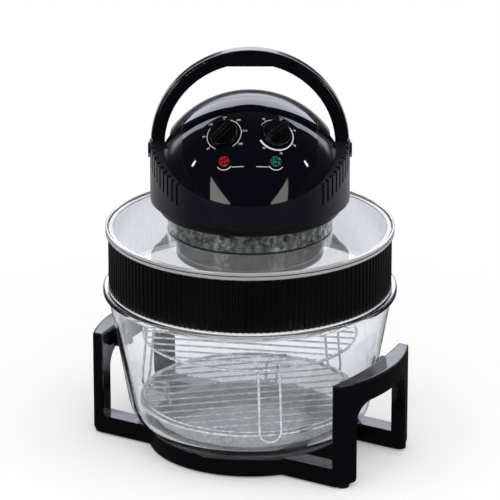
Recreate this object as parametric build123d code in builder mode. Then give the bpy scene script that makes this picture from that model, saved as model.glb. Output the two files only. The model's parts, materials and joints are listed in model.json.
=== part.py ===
from build123d import *
from math import cos, pi, radians, sin, sqrt, tan
import os

# Halogen oven: a glass bowl in a handled base, a basket and two racks inside it, an extender ring,
# and a glass lid that carries the heater head. Millimetres, +Z up, the control panel faces -Y.

# Clearances
rest_gap = 0.3  # between rounded faces of pieces that lift apart
seam = 0.15  # between fixed pieces that are screwed or pressed together
running_fit = 0.06  # radial, in a bearing or a pivot
fixed_fit = 0.02  # radial, round a pin or a screw that stays put

# Base
base_turn = -31  # the base's own long axis, seen from above
foot_height = 2.0
foot_radius = 8.0
foot_recess = 4.0
foot_setback = 22.0  # of a foot's centre from the handle's outside
ring_outer = 121.0
ring_inner = 96.0
ring_height = 22.0
arm_offset = 68.0
arm_width = 24.0
tongue_reach = 86.0
tongue_thickness = 6.0
handle_wall_gap = 7.5  # between the bowl's wall and the middle of a handle's top
handle_bow = 7.0  # how far a handle's inside bows out between its ends
handle_thickness = 24.0
handle_top = 128.0
handle_bar_height = 28.0
window_corner = 22.0
window_edge = 2.0
foot_corner = 7.0
handle_edge = 2.5
base_screw_radius = 2.0
base_screw_head = 3.8
base_screw_head_height = 2.6
base_screw_length = 15.0
base_screw_at = 95.0
base_screw_room = 1.0  # past the screw's end
pad_tab_sunk = 2.5  # of a side pad's tab into the handle

# Pads that hold the bowl
rest_pad_count = 6
rest_pad_radius = 5.0
rest_pad_circle = 102.5
rest_pad_sunk = 1.5
rest_pad_proud = 1.5
side_pad_angle = 15.0
side_pad_bottom = 105.0
side_pad_height = 14.0
side_pad_width = 10.0
side_pad_thickness = 3.0
side_tab_margin = 3.0

# Glass bowl
bowl_height = 172.0
bowl_bottom_outer = 138.1  # where the wall's line meets the bottom
bowl_wall_slope = 10.2
bowl_wall = 5.0
bowl_corner = 36.0
bowl_rim_overhang = 5.4  # beyond the wall
bowl_rim_height = 8.0
bowl_rim_width = 6.5
bowl_rim_round = 2.4
lid_seat_depth = 5.0  # of the recess in the bowl's and in the extender ring's rim

# Basket
basket_clearance = 7.4  # between the basket's rim and the bowl
basket_rim_wire = 1.7
basket_depth = 28.0
basket_flare = 22.7
basket_sheet = 0.9
basket_hole_pitch = 11.0
basket_hole = 9.4

# Racks
rack_wire = 1.5
bar_wire = 1.1
bar_count = 12
bar_pitch = 19.0
low_rack_clearance = 2.0  # between the low rack's hoop and the basket's rim
low_rack_height = 30.0  # above the bowl's inside floor, to the hoop's centreline
low_rack_turn = 12.0
low_leg_count = 4
low_leg_start = 75.0
low_leg_width = 13.5
low_leg_inset = 7.0  # from the edge of the basket's floor
low_leg_splay = 4.0
high_rack_height = 108.0
high_rack_turn = -10.0
high_leg_count = 3
high_leg_start = 40.0
high_leg_width = 25.0
high_leg_foot_height = 21.7
high_leg_splay = 9.4
high_leg_hook = 16.2
leg_bend = 5.0
leg_foot_flat = 0.4  # of straight wire at the bottom of a leg's round end

# Extender ring
extender_height = 80.0
extender_liner_inset = 4.2  # from the seat in the rim below it
extender_liner_wall = 0.8
extender_lip = 1.5
extender_bottom_rim_height = 6.0
extender_top_rim_wall = 2.9
extender_top_rim_height = 8.0
extender_top_rim_edge = 1.0
extender_ledge_sheet = 2.0
extender_groove_depth = 4.0
band_wall = 2.4
band_rib_depth = 1.8
band_rib_count = 150

# Glass disc of the lid, its edge band and the parts that clamp it; levels are above the glass
lid_seat_clearance = 1.1  # round what drops into a seat
lid_edge_margin = 1.0  # of the edge band, beyond the glass
lid_edge_hem = 3.4  # of the edge band, over the glass
lid_glass_thickness = 4.5
lid_edge_sheet = 0.5
skirt_outer = 96.5
skirt_sheet = 1.2
skirt_top = 24.0
skirt_flange = 20.5
glass_overlap = 8.5  # of the skirt, over the glass
gasket_thickness = 1.0
gasket_setback = 1.0  # from the glass's hole
gasket_inset = 1.5  # from the skirt's outside
clamp_count = 4
clamp_inset = 5.5  # of the bolts, inside the glass's hole
clamp_bolt_radius = 2.0
clamp_head_radius = 3.6
clamp_head_height = 2.4

# Lamp pan under the glass
pan_sheet = 1.2
pan_depth = 27.0
pan_wall_inset = 2.8  # inside the glass's hole
pan_shaft_hole = 8.0
guard_rings = ((20.0, 8), (37.0, 14), (54.0, 20), (71.0, 26))
guard_hole = 5.5
guard_lip_height = 5.0
lamp_ring_radius = 60.0
lamp_tube_radius = 4.5
lamp_drop = 17.0
lamp_gap = 34.0
lamp_holder_side = 13.0
lamp_holder_wall = 2.0
shield_clearance = 1.3

# Head: lower ring, collar, dome and fascia; levels are above the glass
body_ring_flare = 9.5  # beyond the skirt
body_ring_wall = 3.0
body_ring_inner = 46.0
body_ring_top = 36.0
head_screw_count = 4
head_screw_inset = 10.5  # from the body ring's outside
head_screw_room = 1.0
head_screw_radius = 1.8
head_screw_head = 3.4
head_screw_length = 18.0
boss_wall = 3.0
collar_flare = 10.5  # beyond the body ring
collar_wall = 2.5
collar_plate = 30.5
collar_front_top = 63.0
deck_slope = 22.5
wing_back = -9.5
rear_wall_top = 84.0
channel_floor = 81.0
ear_radius = 12.5
vent_count = 9
vent_first = 46.0
vent_pitch = 4.2
vent_width = 3.2
vent_depth = 24.0
notch_width = 55.0
notch_depth = 1.2
notch_height = 7.0
dome_step = 0.5  # inside the collar
dome_centre = 46.0
dome_wall = 4.5
rear_dome_inset = 21.5  # from the collar's outside
fascia_thickness = 2.0
fascia_half_width = 78.0
fascia_waist = 53.0
fascia_foot = 46.0
fascia_shoulder_level = 100.0
fascia_waist_level = 70.0

# Controls on the dome
knob_sideways = 30.0
knob_lift = 53.0
knob_radius = 17.0
knob_grip_width = 7.0
knob_grip_margin = 1.5
knob_grip_edge = 1.2
knob_grip_turn = 45.0  # at rest, clockwise from upright
knob_skirt_height = 4.0
knob_skirt_drop = 1.2
knob_skirt_taper = 8.0
knob_grip_taper = 6.0
knob_height = 9.0
knob_clearance = 0.6
spindle_radius = 3.0
spindle_room = 1.0
control_depth = 14.0
thermostat_radius = 15.0
timer_radius = 20.0
lens_sideways = 29.5
lens_lift = 35.0
lens_radius = 6.5
lens_neck = 5.0
lens_height = 1.6
lens_rim = 0.4
indicator_radius = 4.0
indicator_length = 10.0

# Carry handle
pivot_level = 95.0
pivot_radius = 4.0
pivot_cap_radius = 9.5
pivot_cap_height = 2.0
handle_arch_raise = 6.5
handle_arch_inset = 1.0  # from the collar's outside
handle_arch_clearance = 4.0  # round the rear dome
handle_flat_half = 22.5
handle_depth = 18.0
handle_shoulder = 17.0
handle_shoulder_rise = 3.0
handle_round = 3.5
cam_rise = 2.5
cam_start = 9.2
cam_sweep = 90.0
cam_steps = 12
cam_thickness = 6.0
cam_root = 9.0  # height of its root on the leg
cam_gap = 0.35
plunger_radius = 2.2
plunger_length = 11.0
plunger_round = 1.0
plunger_room = 0.5
pivot_reach = 1.0  # of a pin past the handle's leg
switch_side = 12.0
switch_length = 16.0
switch_height = 17.0

# Motor and fans
shaft_radius = 3.0
bearing_radius = 8.0
bearing_height = 5.0
lower_bearing_height = 3.0
bracket_sheet = 2.0
bracket_length = 112.0
bracket_width = 26.0
stator_width = 56.0
stator_front = 26.0
stator_back = 44.0
stator_height = 20.0
stator_stand = 5.0
stud_radius = 2.5
stud_inset_x = 4.0
stud_inset_y = 3.0
rotor_radius = 13.4
rotor_gap = 0.5
rotor_end_gap = 2.0
coil_half_width = 15.0
coil_wall = 4.0
coil_core = 12.0
coil_window_margin = 1.0
fan_hub = 8.0
fan_blade_root = 2.0
fan_clearance = 3.0
cooling_fan_clearance = 4.0
fan_nut_radius = 6.0
fan_nut_height = 5.0
shaft_end = 1.0
shaft_top_end = 3.0
fan_blade_count = 8
fan_blade = 1.2
fan_height = 10.0
convection_fan_radius = 44.0
cooling_fan_radius = 56.0

# Mains entry and terminals
gland_level = 54.0
gland_bore = 4.0
gland_neck = 6.5
gland_flange = 9.5
gland_flange_thickness = 3.0
terminal_length = 34.0
terminal_depth = 14.0
terminal_height = 11.0
terminal_setback = 1.0
foot_edge = 0.5

# Derived levels and radii, from the floor up
bowl_bottom = foot_height + ring_height + rest_pad_proud
bowl_floor = bowl_bottom + bowl_wall
wall_rise = tan(radians(bowl_wall_slope))
wall_across = bowl_wall / cos(radians(bowl_wall_slope))
bowl_ledge = bowl_bottom + bowl_height - lid_seat_depth
extender_ledge = bowl_ledge + extender_height - extender_top_rim_height
extender_top = bowl_ledge + extender_height

bowl_rim_bottom = bowl_bottom + bowl_height - bowl_rim_height
basket_rim_level = bowl_floor + basket_depth
high_leg_foot_level = bowl_floor + high_leg_foot_height

base_plane = Plane.XY.rotated((0, 0, base_turn))


def bowl_outside(level):
    """Outer radius of the bowl's straight wall at a height above the floor."""
    return bowl_bottom_outer + (level - bowl_bottom) * wall_rise


def bowl_inside(level, inset=0):
    """Inner radius of the bowl at a height above the floor, or that of a line set in from its glass."""
    corner = bowl_corner - bowl_wall
    corner_level = bowl_floor + corner
    lean = radians(bowl_wall_slope)
    if level > corner_level + corner * sin(lean):
        return bowl_outside(level) - wall_across - inset / cos(lean)
    corner_centre = bowl_outside(corner_level) - wall_across - corner / cos(lean)
    return corner_centre + sqrt((corner - inset) ** 2 - (corner_level - level) ** 2)


bowl_rim_outer = bowl_outside(bowl_rim_bottom) + bowl_rim_overhang
lid_seat_radius = bowl_rim_outer - bowl_rim_width

handle_inner_middle = bowl_outside(handle_top) + handle_wall_gap
handle_inner_side = handle_inner_middle - handle_bow
handle_outer = handle_inner_middle + handle_thickness
foot_distance = handle_outer - foot_setback

basket_rim_radius = bowl_inside(basket_rim_level) - basket_clearance - basket_rim_wire
basket_floor_radius = basket_rim_radius - basket_flare
low_rack_radius = basket_rim_radius - basket_rim_wire - rack_wire - low_rack_clearance
low_leg_radius = basket_floor_radius - low_leg_inset
low_leg_top_radius = low_leg_radius + low_leg_splay
high_leg_foot_radius = bowl_inside(high_leg_foot_level, rack_wire + rest_gap)
high_rack_radius = high_leg_foot_radius - high_leg_splay
high_leg_hook_radius = high_rack_radius - high_leg_hook

extender_liner_outer = lid_seat_radius - extender_liner_inset
extender_inner_lip = extender_liner_outer - extender_lip
extender_bottom_rim_outer = lid_seat_radius - lid_seat_clearance
extender_top_rim_outer = lid_seat_radius + extender_top_rim_wall
band_outer = extender_liner_outer + band_wall + band_rib_depth
lid_edge_outer = lid_seat_radius - lid_seat_clearance
lid_glass_radius = lid_edge_outer - lid_edge_margin
lid_edge_lip = lid_glass_radius - lid_edge_hem

lid_glass_hole = skirt_outer - glass_overlap
gasket_inner = lid_glass_hole + gasket_setback
gasket_outer = skirt_outer - gasket_inset
clamp_circle = lid_glass_hole - clamp_inset
skirt_flange_inner = skirt_outer - skirt_flange
shield_radius = skirt_outer - skirt_sheet - shield_clearance
pan_wall_outer = lid_glass_hole - pan_wall_inset
body_ring_outer = skirt_outer + body_ring_flare
head_screw_circle = body_ring_outer - head_screw_inset
collar_outer = body_ring_outer + collar_flare
collar_plate_inner = collar_outer - collar_plate
dome_radius = collar_outer - dome_step
rear_dome_radius = collar_outer - rear_dome_inset
handle_arch_outer = collar_outer - handle_arch_inset
handle_arch_inner = rear_dome_radius + handle_arch_clearance
handle_leg_outer = sqrt((collar_outer - collar_wall) ** 2 - ear_radius**2) - rest_gap


def facing(turn, distance=0):
    """An upright plane that faces outward from the oven's axis; its local x runs sideways, its y up."""
    out = Vector(cos(radians(turn)), sin(radians(turn)), 0)
    return Plane(origin=out * distance, x_dir=(-out.Y, out.X, 0), z_dir=out)


def slicing(turn):
    """An upright plane through the oven's axis; its local x runs outward, its y up."""
    out = Vector(cos(radians(turn)), sin(radians(turn)), 0)
    return Plane(origin=(0, 0, 0), x_dir=out, z_dir=(out.Y, -out.X, 0))


def save(piece, name):
    """Labels a finished piece and writes it."""
    piece.part.label = name
    export_step(piece.part, f"parts/{name}.step")


os.makedirs("parts", exist_ok=True)

# Base ring, rebated underneath for the handle frames' tongues
arm_places = [(x, y) for x in (-1, 1) for y in (-arm_offset, arm_offset)]
screw_places = [(side * base_screw_at, y) for side, y in arm_places]
with BuildPart() as base_ring:
    with BuildSketch(base_plane.offset(foot_height)):
        Circle(ring_outer)
        Circle(ring_inner, mode=Mode.SUBTRACT)
    extrude(amount=ring_height)
    fillet(base_ring.edges().group_by(Axis.Z)[-1], handle_edge)
    with BuildSketch(base_plane.offset(foot_height)):
        with Locations(*[(side * ring_outer, y) for side, y in arm_places]):
            Rectangle(2 * (ring_outer - tongue_reach + seam), arm_width + 2 * seam)
    extrude(amount=tongue_thickness + seam, mode=Mode.SUBTRACT)
    with BuildSketch(base_plane.offset(foot_height + ring_height - rest_pad_sunk)):
        with PolarLocations(rest_pad_circle, rest_pad_count):
            Circle(rest_pad_radius + fixed_fit)
    extrude(amount=rest_pad_sunk, mode=Mode.SUBTRACT)
    with BuildSketch(base_plane.offset(foot_height + tongue_thickness)):
        with Locations(*screw_places):
            Circle(base_screw_radius + fixed_fit)
    extrude(amount=base_screw_length - tongue_thickness + base_screw_room, mode=Mode.SUBTRACT)
save(base_ring, "base_ring")

with BuildPart() as bowl_rest_pads:
    with BuildSketch(base_plane.offset(foot_height + ring_height - rest_pad_sunk)):
        with PolarLocations(rest_pad_circle, rest_pad_count):
            Circle(rest_pad_radius)
    extrude(amount=rest_pad_sunk + rest_pad_proud)
save(bowl_rest_pads, "bowl_rest_pads")

# Handle frames: a window between two posts, a curved bar over it, two arms and tongues to the ring
handle_side = arm_offset + arm_width / 2
handle_corner_x = sqrt(handle_outer**2 - handle_side**2)
window_half = arm_offset - arm_width / 2
window_top = handle_top - handle_bar_height
side_pad_top = side_pad_bottom + side_pad_height
side_tab_face = bowl_outside(side_pad_top) + rest_gap + side_pad_thickness
for frame_name, frame_turn in (("right_handle_frame", base_turn), ("left_handle_frame", base_turn + 180)):
    frame_plane = Plane.XY.rotated((0, 0, frame_turn)).offset(foot_height)
    with BuildPart() as handle_frame:
        with BuildSketch(frame_plane):
            with BuildLine():
                outside = ThreePointArc(
                    (handle_corner_x, -handle_side), (handle_outer, 0), (handle_corner_x, handle_side)
                )
                inside = ThreePointArc(
                    (handle_inner_side, -handle_side),
                    (handle_inner_middle, 0),
                    (handle_inner_side, handle_side),
                )
                Line(outside @ 0, inside @ 0)
                Line(outside @ 1, inside @ 1)
            make_face()
        extrude(amount=handle_top - foot_height)
        fillet(handle_frame.edges().filter_by(Axis.Z), handle_edge)
        fillet(handle_frame.edges().group_by(Axis.Z)[-1], handle_edge)
        bottom_arcs = handle_frame.edges().group_by(Axis.Z)[0].filter_by(GeomType.CIRCLE)
        fillet(bottom_arcs.sort_by(SortBy.LENGTH)[-1], foot_corner)
        with BuildSketch(facing(frame_turn)) as window:
            Rectangle(2 * window_half, 2 * window_top)
            fillet(window.vertices().group_by(Axis.Y)[-1], window_corner)
        extrude(amount=2 * handle_outer, mode=Mode.SUBTRACT)
        window_edges = handle_frame.edges(Select.LAST)
        fillet(window_edges.filter_by_position(Axis.Z, foot_height + window_edge, handle_top), window_edge)
        with BuildSketch(frame_plane):
            with Locations((handle_inner_middle / 2, -arm_offset), (handle_inner_middle / 2, arm_offset)):
                Rectangle(handle_inner_middle, arm_width)
            Circle(ring_outer + seam, mode=Mode.SUBTRACT)
        extrude(amount=ring_height)
        with BuildSketch(frame_plane):
            with Locations(*[(side * ring_outer, y) for side, y in arm_places if side > 0]):
                Rectangle(2 * (ring_outer - tongue_reach), arm_width)
        extrude(amount=tongue_thickness)
        for pad_turn in (-side_pad_angle, side_pad_angle):
            with BuildSketch(facing(frame_turn + pad_turn, side_tab_face)):
                with Locations((0, side_pad_bottom + side_pad_height / 2)):
                    Rectangle(side_pad_width + 2 * side_tab_margin, side_pad_height + side_tab_margin)
            extrude(amount=handle_inner_middle + pad_tab_sunk - side_tab_face)
        with BuildSketch(frame_plane):
            with Locations(*[(foot_distance, y) for side, y in arm_places if side > 0]):
                Circle(foot_radius + fixed_fit)
        extrude(amount=foot_recess, mode=Mode.SUBTRACT)
        with BuildSketch(frame_plane):
            with Locations(*[place for place in screw_places if place[0] > 0]):
                Circle(base_screw_head + seam)
        extrude(amount=base_screw_head_height, mode=Mode.SUBTRACT)
        with BuildSketch(frame_plane):
            with Locations(*[place for place in screw_places if place[0] > 0]):
                Circle(base_screw_radius + seam)
        extrude(amount=tongue_thickness, mode=Mode.SUBTRACT)
    save(handle_frame, frame_name)

with BuildPart() as base_screws:
    with BuildSketch(base_plane.offset(foot_height)):
        with Locations(*screw_places):
            Circle(base_screw_head)
    extrude(amount=base_screw_head_height)
    with BuildSketch(base_plane.offset(foot_height)):
        with Locations(*screw_places):
            Circle(base_screw_radius)
    extrude(amount=base_screw_length)
save(base_screws, "base_screws")

with BuildPart() as base_feet:
    with BuildSketch(base_plane):
        with Locations(*[(side * foot_distance, y) for side, y in arm_places]):
            Circle(foot_radius)
    extrude(amount=foot_height + foot_recess)
    fillet(base_feet.edges().group_by(Axis.Z)[0], foot_edge)
save(base_feet, "base_feet")

side_pad_turns = [half + side for half in (0, 180) for side in (-side_pad_angle, side_pad_angle)]
with BuildPart() as bowl_side_pads:
    for pad_turn in [base_turn + turn for turn in side_pad_turns]:
        with BuildSketch(slicing(pad_turn)):
            Polygon(
                (bowl_outside(side_pad_bottom) + rest_gap, side_pad_bottom),
                (bowl_outside(side_pad_top) + rest_gap, side_pad_top),
                (side_tab_face, side_pad_top),
                (side_tab_face, side_pad_bottom),
            )
        extrude(amount=side_pad_width / 2, both=True)
save(bowl_side_pads, "bowl_side_pads")

# Bowl: flat bottom, round corner, sloping wall, rim bead, and a recess inside the rim
bowl_inside_corner = bowl_outside(bowl_floor) - wall_across
with BuildPart() as glass_bowl:
    with BuildSketch(Plane.XZ) as bowl_section:
        Polygon(
            (0, bowl_bottom),
            (bowl_bottom_outer, bowl_bottom),
            (bowl_outside(bowl_rim_bottom), bowl_rim_bottom),
            (bowl_rim_outer, bowl_rim_bottom),
            (bowl_rim_outer, bowl_bottom + bowl_height),
            (lid_seat_radius, bowl_bottom + bowl_height),
            (lid_seat_radius, bowl_ledge),
            (bowl_outside(bowl_ledge) - wall_across, bowl_ledge),
            (bowl_inside_corner, bowl_floor),
            (0, bowl_floor),
        )
        corners = bowl_section.vertices()
        fillet(corners.sort_by_distance((bowl_bottom_outer, bowl_bottom))[0], bowl_corner)
        fillet(corners.sort_by_distance((bowl_inside_corner, bowl_floor))[0], bowl_corner - bowl_wall)
        rim_corners = [v for v in bowl_section.vertices() if v.X > bowl_rim_outer - 0.01]
        fillet(rim_corners, bowl_rim_round)
    revolve(axis=Axis.Z)
save(glass_bowl, "glass_bowl")

# Basket: a floor of mesh, a sloping side and a wire round its rim, standing on the bowl's floor
basket_slope = (basket_rim_radius - basket_rim_wire - basket_floor_radius) / basket_depth
basket_holes = [
    (column * basket_hole_pitch, row * basket_hole_pitch)
    for column in range(-10, 11)
    for row in range(-10, 11)
    if sqrt(column**2 + row**2) * basket_hole_pitch + basket_hole < basket_floor_radius
]
print("basket floor gaps", len(basket_holes))
with BuildPart() as basket_mesh:
    with BuildSketch(Plane.XZ):
        Polygon(
            (basket_floor_radius - 2 * basket_sheet, bowl_floor),
            (basket_floor_radius, bowl_floor),
            (basket_floor_radius + basket_slope * basket_depth, basket_rim_level),
            (basket_floor_radius + basket_slope * basket_depth - basket_sheet, basket_rim_level),
            (basket_floor_radius - basket_sheet, bowl_floor + basket_sheet),
            (basket_floor_radius - 2 * basket_sheet, bowl_floor + basket_sheet),
        )
    revolve(axis=Axis.Z)
    with BuildSketch(Plane.XY.offset(bowl_floor)):
        Circle(basket_floor_radius - basket_sheet)
        with Locations(*basket_holes):
            Rectangle(basket_hole, basket_hole, mode=Mode.SUBTRACT)
    extrude(amount=basket_sheet)
save(basket_mesh, "basket_mesh")

with BuildPart() as basket_rim:
    with Locations((0, 0, basket_rim_level)):
        Torus(basket_rim_radius + seam, basket_rim_wire)
save(basket_rim, "basket_rim")


def rack_bars(level, hoop_radius, turn):
    """Parallel bars that lie across the top of a rack's hoop."""
    with BuildPart() as bars:
        for number in range(bar_count):
            across = (number - (bar_count - 1) / 2) * bar_pitch
            reach = sqrt(hoop_radius**2 - across**2)
            with BuildSketch(Plane(facing(turn).origin, facing(turn).x_dir, facing(turn).z_dir)):
                with Locations((across, level + rack_wire + bar_wire)):
                    Circle(bar_wire)
            extrude(amount=reach, both=True)
    return bars


def rack_legs(turns, width, corners):
    """Bent wire legs; corners are (distance out, height) from a hook's end down to the foot."""
    with BuildPart() as legs:
        for turn in turns:
            side = facing(turn)
            route = [(out, -width / 2, level) for out, level in corners]
            route += [(out, width / 2, level) for out, level in reversed(corners)]
            points = [
                side.z_dir * out + side.x_dir * along + Vector(0, 0, level)
                for out, along, level in route
            ]
            foot_bend = (width - leg_foot_flat) / 2
            with BuildLine():
                path = FilletPolyline(*points, radius=[leg_bend, foot_bend, foot_bend, leg_bend])
            with BuildSketch(Plane(path @ 0, z_dir=path % 0)):
                Circle(rack_wire)
            sweep(path=path)
    return legs


def spread(count, start):
    """Turns of things spaced evenly round the oven's axis."""
    return [start + number * 360 / count for number in range(count)]


# Low rack, standing in the basket on four short legs
low_rack_level = bowl_floor + low_rack_height
low_foot_level = bowl_floor + basket_sheet + rest_gap + rack_wire
low_hook_level = low_rack_level - 2 * rack_wire
with BuildPart() as low_rack_hoop:
    with Locations((0, 0, low_rack_level)):
        Torus(low_rack_radius, rack_wire)
save(low_rack_hoop, "low_rack_hoop")
low_rack_bars = rack_bars(low_rack_level, low_rack_radius, low_rack_turn)
save(low_rack_bars, "low_rack_bars")
low_rack_legs = rack_legs(
    spread(low_leg_count, low_leg_start),
    low_leg_width,
    [
        (low_rack_radius, low_hook_level),
        (low_leg_top_radius, low_hook_level),
        (low_leg_radius, low_foot_level),
    ],
)
save(low_rack_legs, "low_rack_legs")

# High rack, standing on the bowl's inside corner on three long splayed legs
high_rack_level = bowl_floor + high_rack_height
high_hook_level = high_rack_level - 2 * rack_wire
with BuildPart() as high_rack_hoop:
    with Locations((0, 0, high_rack_level)):
        Torus(high_rack_radius, rack_wire)
save(high_rack_hoop, "high_rack_hoop")
high_rack_bars = rack_bars(high_rack_level, high_rack_radius, high_rack_turn)
save(high_rack_bars, "high_rack_bars")
high_rack_legs = rack_legs(
    spread(high_leg_count, high_leg_start),
    high_leg_width,
    [
        (high_leg_hook_radius, high_hook_level),
        (high_rack_radius, high_hook_level),
        (high_leg_foot_radius, high_leg_foot_level),
    ],
)
save(high_rack_legs, "high_rack_legs")

# Extender ring: a steel liner held between two rims, with a ribbed band round it
liner_bottom = bowl_ledge + extender_bottom_rim_height - extender_groove_depth
ledge_bottom = extender_ledge - extender_ledge_sheet
liner_inner = extender_liner_outer - extender_liner_wall
with BuildPart() as ring_liner:
    with BuildSketch(Plane.XY.offset(liner_bottom)):
        Circle(extender_liner_outer)
        Circle(liner_inner, mode=Mode.SUBTRACT)
    extrude(amount=ledge_bottom - liner_bottom)
save(ring_liner, "ring_liner")

band_bottom = bowl_ledge + extender_bottom_rim_height
rib_turn = 2 * pi / band_rib_count
rib_steps = [(0.0, 0.0), (0.22, 1.0), (0.5, 1.0), (0.72, 0.0)]
rib_points = [
    (
        (band_outer - band_rib_depth * (1 - height)) * cos((number + share) * rib_turn),
        (band_outer - band_rib_depth * (1 - height)) * sin((number + share) * rib_turn),
    )
    for number in range(band_rib_count)
    for share, height in rib_steps
]
with BuildPart() as ring_band:
    with BuildSketch(Plane.XY.offset(band_bottom)):
        Polygon(*rib_points)
        Circle(extender_liner_outer + seam, mode=Mode.SUBTRACT)
    extrude(amount=ledge_bottom - band_bottom)
save(ring_band, "ring_band")

with BuildPart() as ring_bottom_rim:
    with BuildSketch(Plane.XZ) as bottom_rim_section:
        Polygon(
            (extender_inner_lip, bowl_ledge),
            (extender_bottom_rim_outer, bowl_ledge),
            (extender_bottom_rim_outer, band_bottom),
            (extender_liner_outer + fixed_fit, band_bottom),
            (extender_liner_outer + fixed_fit, liner_bottom),
            (liner_inner - fixed_fit, liner_bottom),
            (liner_inner - fixed_fit, band_bottom),
            (extender_inner_lip, band_bottom),
        )
    revolve(axis=Axis.Z)
save(ring_bottom_rim, "ring_bottom_rim")

with BuildPart() as ring_top_rim:
    with BuildSketch(Plane.XZ):
        Polygon(
            (extender_inner_lip, ledge_bottom),
            (band_outer, ledge_bottom),
            (extender_top_rim_outer, extender_ledge),
            (extender_top_rim_outer, extender_top - extender_top_rim_edge),
            (extender_top_rim_outer - extender_top_rim_edge, extender_top),
            (lid_seat_radius, extender_top),
            (lid_seat_radius, extender_ledge),
            (extender_inner_lip, extender_ledge),
        )
    revolve(axis=Axis.Z)
save(ring_top_rim, "ring_top_rim")

# Glass disc with its steel edge band, seated in the extender ring's rim
glass_bottom = extender_ledge + lid_edge_sheet
glass_top = glass_bottom + lid_glass_thickness
with BuildPart() as lid_glass:
    with BuildSketch(Plane.XY.offset(glass_bottom)):
        Circle(lid_glass_radius)
        Circle(lid_glass_hole, mode=Mode.SUBTRACT)
    extrude(amount=lid_glass_thickness)
save(lid_glass, "lid_glass")

with BuildPart() as lid_edge_band:
    with BuildSketch(Plane.XZ):
        Polygon(
            (lid_edge_lip, extender_ledge),
            (lid_edge_outer, extender_ledge),
            (lid_edge_outer, glass_top + lid_edge_sheet),
            (lid_edge_lip, glass_top + lid_edge_sheet),
            (lid_edge_lip, glass_top),
            (lid_glass_radius + fixed_fit, glass_top),
            (lid_glass_radius + fixed_fit, glass_bottom),
            (lid_edge_lip, glass_bottom),
        )
    revolve(axis=Axis.Z)
save(lid_edge_band, "lid_edge_band")

gasket_levels = {
    "glass_gasket_lower": glass_bottom - gasket_thickness,
    "glass_gasket_upper": glass_top,
}
for gasket_name, gasket_level in gasket_levels.items():
    with BuildPart() as gasket:
        with BuildSketch(Plane.XY.offset(gasket_level)):
            Circle(gasket_outer)
            Circle(gasket_inner, mode=Mode.SUBTRACT)
        extrude(amount=gasket_thickness)
    save(gasket, gasket_name)

# Chrome skirt: a drum with a flange inside each end
skirt_bottom = glass_top + gasket_thickness
skirt_end = glass_top + skirt_top
clamp_turns = PolarLocations(clamp_circle, clamp_count, start_angle=45)
with BuildPart() as chrome_skirt:
    with BuildSketch(Plane.XZ):
        Polygon(
            (skirt_flange_inner, skirt_bottom),
            (skirt_outer, skirt_bottom),
            (skirt_outer, skirt_end),
            (skirt_flange_inner, skirt_end),
            (skirt_flange_inner, skirt_end - skirt_sheet),
            (skirt_outer - skirt_sheet, skirt_end - skirt_sheet),
            (skirt_outer - skirt_sheet, skirt_bottom + skirt_sheet),
            (skirt_flange_inner, skirt_bottom + skirt_sheet),
        )
    revolve(axis=Axis.Z)
    with BuildSketch(Plane.XY.offset(skirt_bottom)):
        with clamp_turns:
            Circle(clamp_bolt_radius + fixed_fit)
    extrude(amount=skirt_sheet, mode=Mode.SUBTRACT)
save(chrome_skirt, "chrome_skirt")

shield_bottom = skirt_bottom + skirt_sheet
with BuildPart() as heat_shield:
    with BuildSketch(Plane.XY.offset(shield_bottom)):
        Circle(shield_radius)
        Circle(pan_shaft_hole, mode=Mode.SUBTRACT)
        with clamp_turns:
            Circle(clamp_bolt_radius + fixed_fit, mode=Mode.SUBTRACT)
    extrude(amount=pan_sheet)
save(heat_shield, "heat_shield")

# Lamp pan: a shallow inverted dish that clamps the glass from below
pan_ceiling = glass_bottom - gasket_thickness - pan_sheet
pan_bottom = pan_ceiling - pan_depth
with BuildPart() as lamp_pan:
    with BuildSketch(Plane.XY.offset(pan_ceiling)):
        Circle(gasket_outer)
        Circle(pan_shaft_hole, mode=Mode.SUBTRACT)
        with clamp_turns:
            Circle(clamp_bolt_radius + fixed_fit, mode=Mode.SUBTRACT)
    extrude(amount=pan_sheet)
    with BuildSketch(Plane.XY.offset(pan_bottom)):
        Circle(pan_wall_outer)
        Circle(pan_wall_outer - pan_sheet, mode=Mode.SUBTRACT)
    extrude(amount=pan_depth)
    with BuildSketch(Plane.XY.offset(pan_ceiling - clamp_head_height)):
        with clamp_turns:
            Circle(clamp_head_radius + seam)
    extrude(amount=clamp_head_height, mode=Mode.SUBTRACT)
save(lamp_pan, "lamp_pan")

with BuildPart() as clamp_bolts:
    with BuildSketch(Plane.XY.offset(pan_ceiling - clamp_head_height)):
        with clamp_turns:
            Circle(clamp_head_radius)
    extrude(amount=clamp_head_height)
    with BuildSketch(Plane.XY.offset(pan_ceiling)):
        with clamp_turns:
            Circle(clamp_bolt_radius)
    extrude(amount=shield_bottom + pan_sheet - pan_ceiling)
    with BuildSketch(Plane.XY.offset(shield_bottom + pan_sheet)):
        with clamp_turns:
            RegularPolygon(clamp_head_radius, 6)
    extrude(amount=clamp_head_height)
save(clamp_bolts, "clamp_bolts")

with BuildPart() as lamp_guard:
    with BuildSketch(Plane.XY.offset(pan_bottom - pan_sheet)):
        Circle(pan_wall_outer + seam + pan_sheet)
        for guard_circle, guard_holes in guard_rings:
            with PolarLocations(guard_circle, guard_holes):
                Circle(guard_hole, mode=Mode.SUBTRACT)
    extrude(amount=pan_sheet)
    with BuildSketch(Plane.XY.offset(pan_bottom)):
        Circle(pan_wall_outer + seam + pan_sheet)
        Circle(pan_wall_outer + seam, mode=Mode.SUBTRACT)
    extrude(amount=guard_lip_height)
save(lamp_guard, "lamp_guard")

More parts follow.
